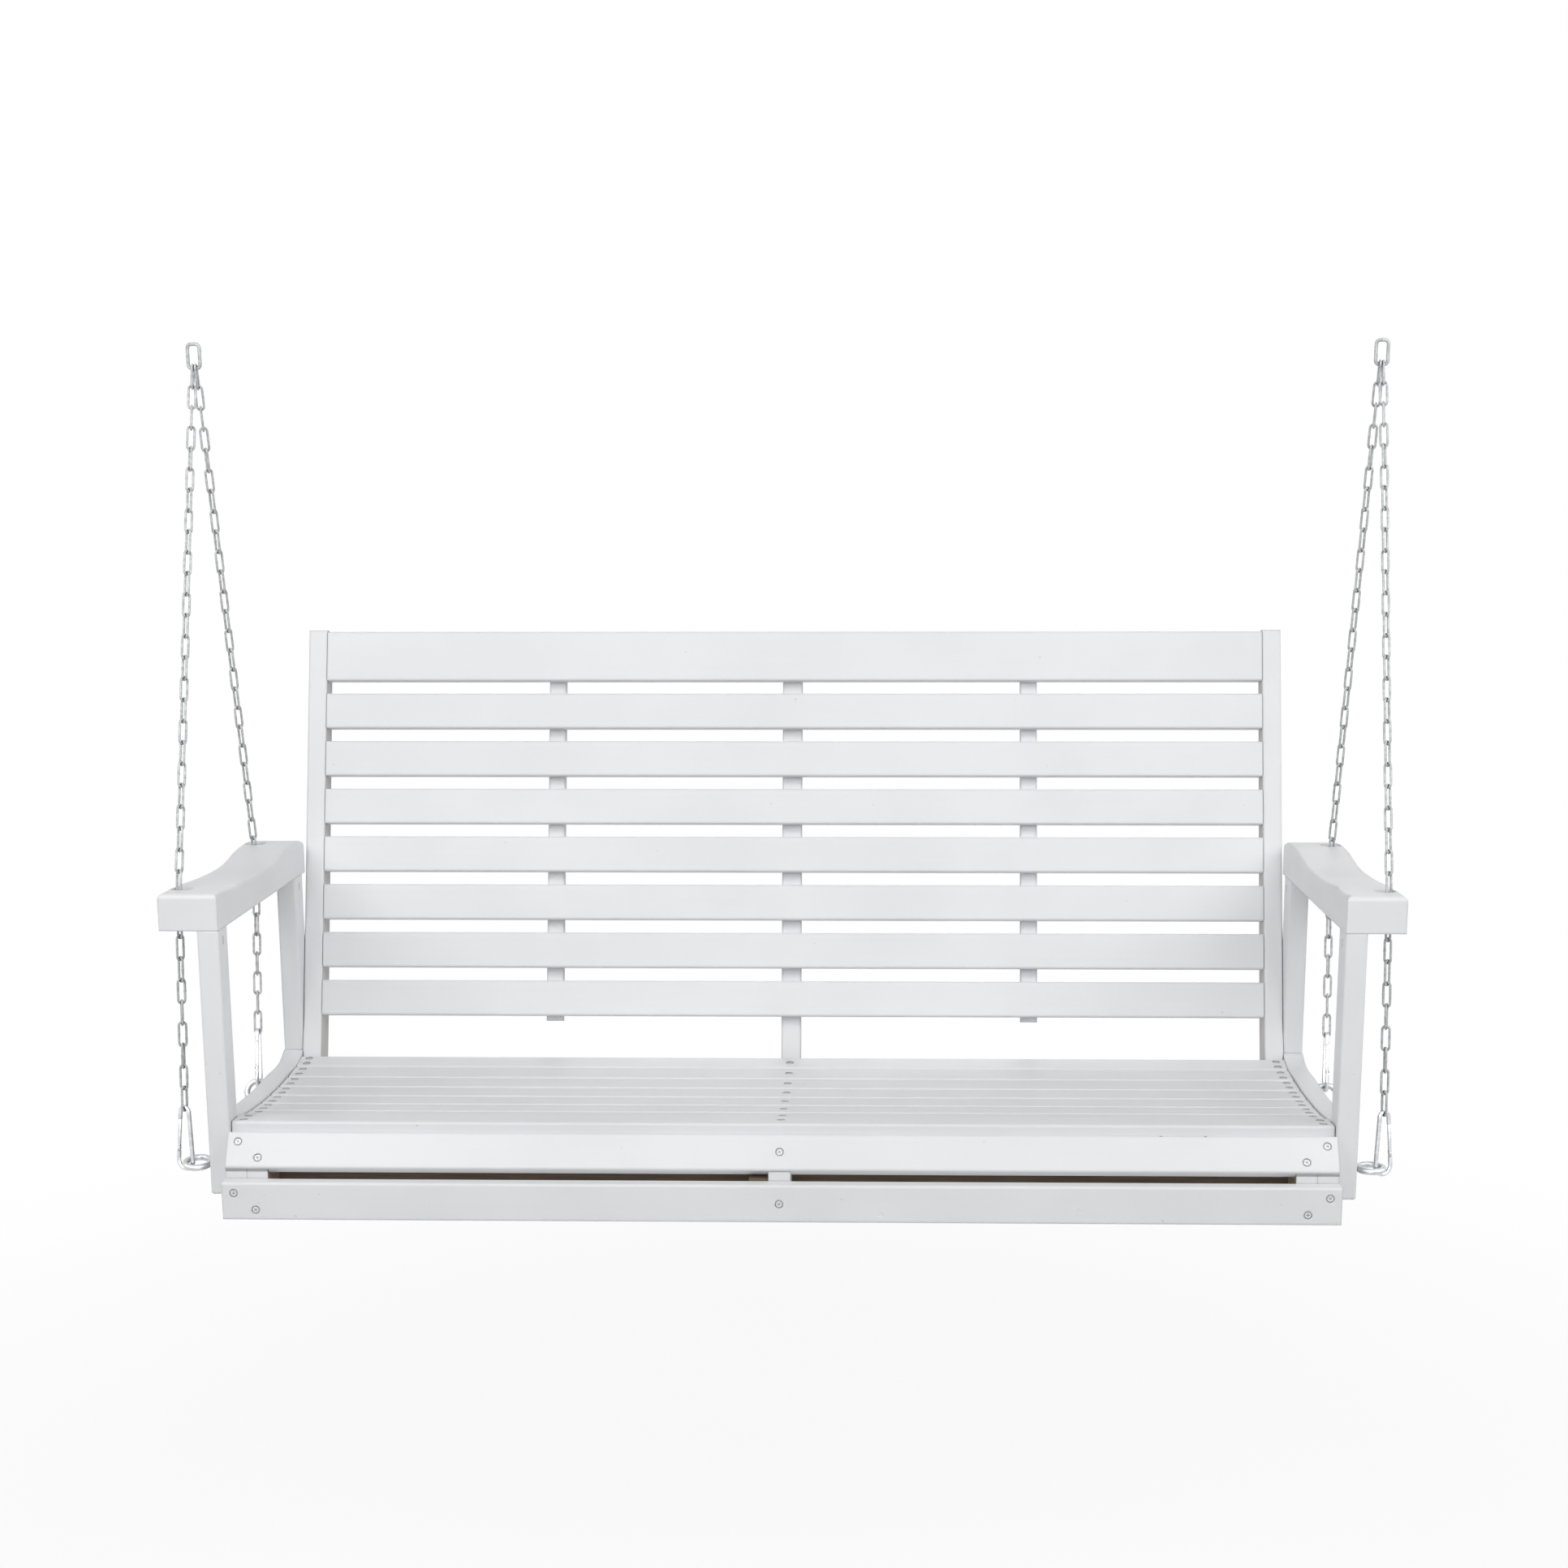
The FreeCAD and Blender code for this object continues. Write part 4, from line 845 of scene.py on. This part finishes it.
# %% Draw a screw and its lip of paint
HEAD_RADIUS, HEAD_DEPTH, SHANK_RADIUS = 0.0039, 0.0012, 0.0023
HEAD_SINK = 0.0003                     # below the paint
HEAD_CHAMFER, RIM_SHARE = 0.00012, 0.96
CONE_SHARE, POINT_SHARE = 1.6, 0.5     # the cone's depth in heads, and the point's radius in shanks
CROSS_ARM, CROSS_WIDTH, CROSS_DEPTH = 0.0023, 0.0009, 0.0013
CROSS_TAPER = (0.62, 0.7)              # the deeper cross: length and width as shares of the mouth's
LIP_INNER, LIP_OUTER, LIP_RISE = 0.0048, 0.0056, 0.00018
LIP_PROFILE = [(LIP_INNER, -HEAD_DEPTH), (LIP_INNER, LIP_RISE * 0.5), (LIP_INNER + 0.0002, LIP_RISE),
               (LIP_OUTER - 0.0004, LIP_RISE * 0.8), (LIP_OUTER, -0.00005),
               (LIP_OUTER - 0.0002, -HEAD_DEPTH)]
HEAD_SIDES = 24


def cross_outline(arm, width):
    """The twelve corners of an upright cross."""
    quarter = [(arm, -width / 2), (arm, width / 2), (width / 2, width / 2)]
    corners = []
    for _ in range(4):
        corners += quarter
        quarter = [(-y, x) for x, y in quarter]
    return corners


def circle_outline(radius):
    """The corners of a circle."""
    turns = [2 * math.pi * k / HEAD_SIDES for k in range(HEAD_SIDES)]
    return [(math.cos(t) * radius, math.sin(t) * radius) for t in turns]


def add_screw(bm, top, axis, turn, length):
    """A screw whose head lies just below a point. The axis points out of the wood."""
    top = top - axis * HEAD_SINK
    u, w = two_across(axis)
    u, w = u * math.cos(turn) + w * math.sin(turn), w * math.cos(turn) - u * math.sin(turn)

    def ring(outline, height):
        return [bm.verts.new(top + u * x + w * y + axis * height) for x, y in outline]

    rim = ring(circle_outline(HEAD_RADIUS * RIM_SHARE), 0)
    side = ring(circle_outline(HEAD_RADIUS), -HEAD_CHAMFER)
    under = ring(circle_outline(SHANK_RADIUS), -HEAD_DEPTH * CONE_SHARE)
    tip = ring(circle_outline(SHANK_RADIUS * POINT_SHARE), -length)
    mouth = ring(cross_outline(CROSS_ARM, CROSS_WIDTH), 0)
    well = ring(cross_outline(CROSS_ARM * CROSS_TAPER[0], CROSS_WIDTH * CROSS_TAPER[1]), -CROSS_DEPTH)
    for one, two in ((rim, side), (side, under), (under, tip), (mouth, well)):
        bridge(bm, one, two)
    bm.faces.new(tip)
    bm.faces.new(well)
    face_edges = [bm.edges.get((loop[k], loop[(k + 1) % len(loop)])) for loop in (rim, mouth)
                  for k in range(len(loop))]
    bmesh.ops.triangle_fill(bm, edges=face_edges, use_beauty=True)


def add_lip(bm, top, axis):
    """A thin ring of paint round a head. It closes the seat's corners."""
    u, w = two_across(axis)
    rings = [add_ring(bm, top + axis * height, u, w, [radius] * HEAD_SIDES)
             for radius, height in LIP_PROFILE]
    join(bm, rings, closed=True)


print("a cross has", len(cross_outline(CROSS_ARM, CROSS_WIDTH)), "corners")

# %% [markdown]
# ## A screw in every seat
# Each rough screw says where its head lies, which way it points and how long it is. No two neighbouring
# crosses stand alike on a real seat, so each screw is turned on by the golden angle. The seat's heads were
# painted over together with the slats. The back's screws sit on its rear side and have no lip.

# %% Set the screws
GOLDEN_TURN = 2.39996                  # radians
TOP_LAYER = 1e-4                       # points this near to the highest one, in metres, are the top


def screw_places(node):
    """The head's top middle and the outward axis of each screw, and its length."""
    found = []
    for points, middle, (long, _, _) in islands(node):
        heights = (points - np.array(middle)) @ np.array(long)
        if abs(heights.max()) > abs(heights.min()):
            long, heights = -long, -heights
        top = points[heights > heights.max() - TOP_LAYER].mean(axis=0)
        found.append((Vector(top), long, heights.max() - heights.min()))
    return found


for node in ("front_screws", "seat_screws", "back_screws"):
    screws, lips = bmesh.new(), bmesh.new()
    places = sorted(screw_places(node), key=lambda place: (round(place[0].z, 3), round(place[0].x, 3)))
    for number, (top, axis, length) in enumerate(places):
        add_screw(screws, top, axis, number * GOLDEN_TURN, length)
        add_lip(lips, top, axis)
    finish = paints["across"] if node == "seat_screws" else screw_steel
    heads = node.replace("screws", "screw_heads")
    new_piece(heads, screws, finish, "swing", [node], smooth=25)
    if node == "back_screws":
        lips.free()
    else:
        new_piece(node.replace("screws", "screw_lips"), lips, paints["across"], "swing")
    print(node, len(places))

# %% [markdown]
# ## Frame bolts
# Carriage bolts with low domed heads join side rails, stiles and supports, and end in nuts inside. The
# dome is a turned profile, a quarter of an ellipse, and the shank behind it is a threaded rod.

# %% Make the bolts and their nuts
BOLT_RADIUS, DOME_RADIUS, DOME_RISE = 0.003, 0.007, 0.0035
BOLT_THREAD, BOLT_PITCH = 0.014, 0.001
BOLT_NUT_FLATS, BOLT_NUT_HEIGHT = 0.010, 0.005
DOME = [(DOME_RADIUS * math.cos(a), DOME_RISE * math.sin(a))
        for a in (math.radians(15 * i) for i in range(6))] + [(0, DOME_RISE)]

bm = bmesh.new()
for points, middle, _ in islands("back_bolts"):
    outward = away(middle)
    reach = abs(points[:, 0])
    head_middle = points[reach > reach.max() - TOP_LAYER].mean(axis=0)
    foot = Vector((outward.x * (reach.max() - DOME_RISE), head_middle[1], head_middle[2]))
    turned(bm, foot, outward, DOME, 28)
    length = foot.x * outward.x - reach.min()
    threaded(bm, foot, -outward, BOLT_RADIUS, length, length - BOLT_THREAD, BOLT_PITCH)
new_piece("carriage_bolts", bm, screw_steel, "swing", ["back_bolts"])

bm = nuts_on("back_bolt_nuts", BOLT_NUT_FLATS, BOLT_NUT_HEIGHT, BOLT_RADIUS)
new_piece("carriage_nuts", bm, screw_steel, "swing", ["back_bolt_nuts"], smooth=25)
print("frame bolts:", len(islands("back_bolts")))

# %% [markdown]
# ## Barrel nuts
# The arms are drawn down on their posts by studs that turn into barrel nuts. A barrel nut's slotted end
# shows on the inner face of each post as a small dark mark. The slot is the room between two halves of
# the round, which are drawn as outlines like a gate's cheeks.

# %% Make the barrel nuts
BARREL_RADIUS, BARREL_SLOT = 0.0048, 0.0016
SLOT_FROM, SLOT_TO, BARREL_FROM = 0.0002, 0.0014, 0.0013       # depths from the barrel's near end


def add_barrel(bm, foot, axis, length, up):
    """A short round bar with a screwdriver slot across its near end."""
    side = axis.cross(up).normalized()
    start = math.asin(BARREL_SLOT / 2 / BARREL_RADIUS)
    turns = [start + (math.pi - 2 * start) * i / 12 for i in range(13)]
    for sign in (1, -1):
        outline = [up * (BARREL_RADIUS * math.cos(t)) + side * (sign * BARREL_RADIUS * math.sin(t))
                   for t in turns]
        add_slab(bm, outline, [foot + axis * depth for depth in (SLOT_FROM, SLOT_TO)])
    turned(bm, foot, axis, [(BARREL_RADIUS, BARREL_FROM), (BARREL_RADIUS, length)], 26)


bm = bmesh.new()
for points, middle, _ in islands("barrel_nuts"):
    outward = away(middle)
    reach = abs(points[:, 0])
    foot = Vector((outward.x * reach.min(), middle.y, middle.z))
    add_barrel(bm, foot, outward, reach.max() - reach.min(), Vector((0, 0, 1)))
new_piece("barrels", bm, screw_steel, "swing", ["barrel_nuts"])
print("barrel nuts:", len(islands("barrel_nuts")))

# %% [markdown]
# ## The floor
# The photograph's ground is pure white. That must not come from more light, or the paint would burn out:
# the floor glows white for the camera and for reflections only, while the wood sees a pale floor under
# plain light. A small share of real shading near the seat keeps the seat's shadow on it.

# %% Lay the floor
FLOOR_DROP, FLOOR_HALF = 0.62, 14.0    # below the seat, and half a side, in metres
FLOOR_TONES = (0.80, 0.80, 0.80), (0.84, 0.84, 0.84)
FLOOR_SHADE = 0.09                     # share of the floor under the seat that shows real light and shadow
SHADE_RIM = (0.9, 2.4)                 # from under the seat's middle: all of the share, and none


def seen_directly(sheet):
    """1 for what the camera, a reflection or glass sees, 0 for the light that a surface gathers."""
    camera_ray, glossy_ray, glass_ray = [
        sheet.node("ShaderNodeLightPath", output=name)
        for name in ("Is Camera Ray", "Is Glossy Ray", "Is Transmission Ray")]
    return camera_ray.math("MAXIMUM", glossy_ray).math("MAXIMUM", glass_ray)


def floor_material():
    sheet = Finish("studio_floor")
    place = sheet.place()
    sheet.finish(Base_Color=sheet.mix(sheet.noise(place, 0.8, 2.0), *FLOOR_TONES), Roughness=0.9)
    glow = sheet.node("ShaderNodeEmission", {}, {"Color": (1, 1, 1), "Strength": 1.0})
    near = 1 - sheet.distance(place, (0, 0.1, 0)).step(*SHADE_RIM)
    share = seen_directly(sheet) * (1 - near * FLOOR_SHADE)
    lit = Wire(sheet, sheet.surface.outputs[0])
    both = sheet.node("ShaderNodeMixShader", {}, {0: share, 1: lit, 2: glow})
    sheet.feed(sheet.tree.nodes["Material Output"].inputs["Surface"], both)
    return sheet.material


floor_mesh = bpy.data.meshes.new("floor")
floor_corners = [(x * FLOOR_HALF, y * FLOOR_HALF, 0) for x, y in ((-1, -1), (1, -1), (1, 1), (-1, 1))]
floor_mesh.from_pydata(floor_corners, [], [(0, 1, 2, 3)])
floor_mesh.materials.append(floor_material())
floor = bpy.data.objects.new("floor", floor_mesh)
floor.location.z = cad_box[0][2] - FLOOR_DROP
bpy.context.scene.collection.objects.link(floor)
print("floor at", round(floor.location.z, 3))

# %% [markdown]
# ## Light and air
# The light is soft and comes from all round: a large lamp behind the camera, another high in front, and a
# smaller one near each end, so that the ends of each board are brighter than its middle. Two lamps far
# out on the sides reach under the arms, and one behind keeps the back from going black. The air is like
# the floor, white to the camera and to reflections, and nearly dark to the wood.

# %% Light the scene
AIR_LEVEL = 0.10
LAMPS = {                              # place, what it points at, width in metres, watts
    "lamp_high": ((0, -2.4, 3.8), (0, 0, 0.3), 2.0, 15),
    "lamp_front": ((0, -4.6, 1.7), (0, 0, 0.3), 2.2, 38),
    "lamp_left": ((-1.5, -1.7, 1.9), (-0.5, 0, 0.4), 1.8, 26),
    "lamp_right": ((1.6, -1.7, 1.9), (0.5, 0, 0.4), 1.8, 23),
    "lamp_far_left": ((-3.6, -0.6, 2.0), (-0.3, 0, 0.3), 2.4, 18),
    "lamp_far_right": ((3.6, -0.6, 2.0), (0.3, 0, 0.3), 2.4, 32),
    "lamp_back": ((0.3, 3.4, 2.6), (0, 0, 0.3), 2.4, 22),
}

world = bpy.data.worlds.new("air")
bpy.context.scene.world = world
world.use_nodes = True
air = Sheet(world.node_tree)
background = air.tree.nodes["Background"]
air.feed(background.inputs["Color"], (1, 1, 1))
air.feed(background.inputs["Strength"], AIR_LEVEL + seen_directly(air) * (1 - AIR_LEVEL))

for name, (place, towards, width, power) in LAMPS.items():
    lamp = bpy.data.lights.new(name, "AREA")
    lamp.shape, lamp.size, lamp.energy = "DISK", width, power
    holder = bpy.data.objects.new(name, lamp)
    holder.location = place
    holder.rotation_euler = (Vector(towards) - Vector(place)).to_track_quat("-Z", "Y").to_euler()
    bpy.context.scene.collection.objects.link(holder)
print("lamps:", len(LAMPS), "watts in all:", sum(lamp[3] for lamp in LAMPS.values()))

# %% [markdown]
# ## The end
# The Standard view shows a colour as it was written.

# %% Finish
bpy.context.scene.view_settings.view_transform = "Standard"
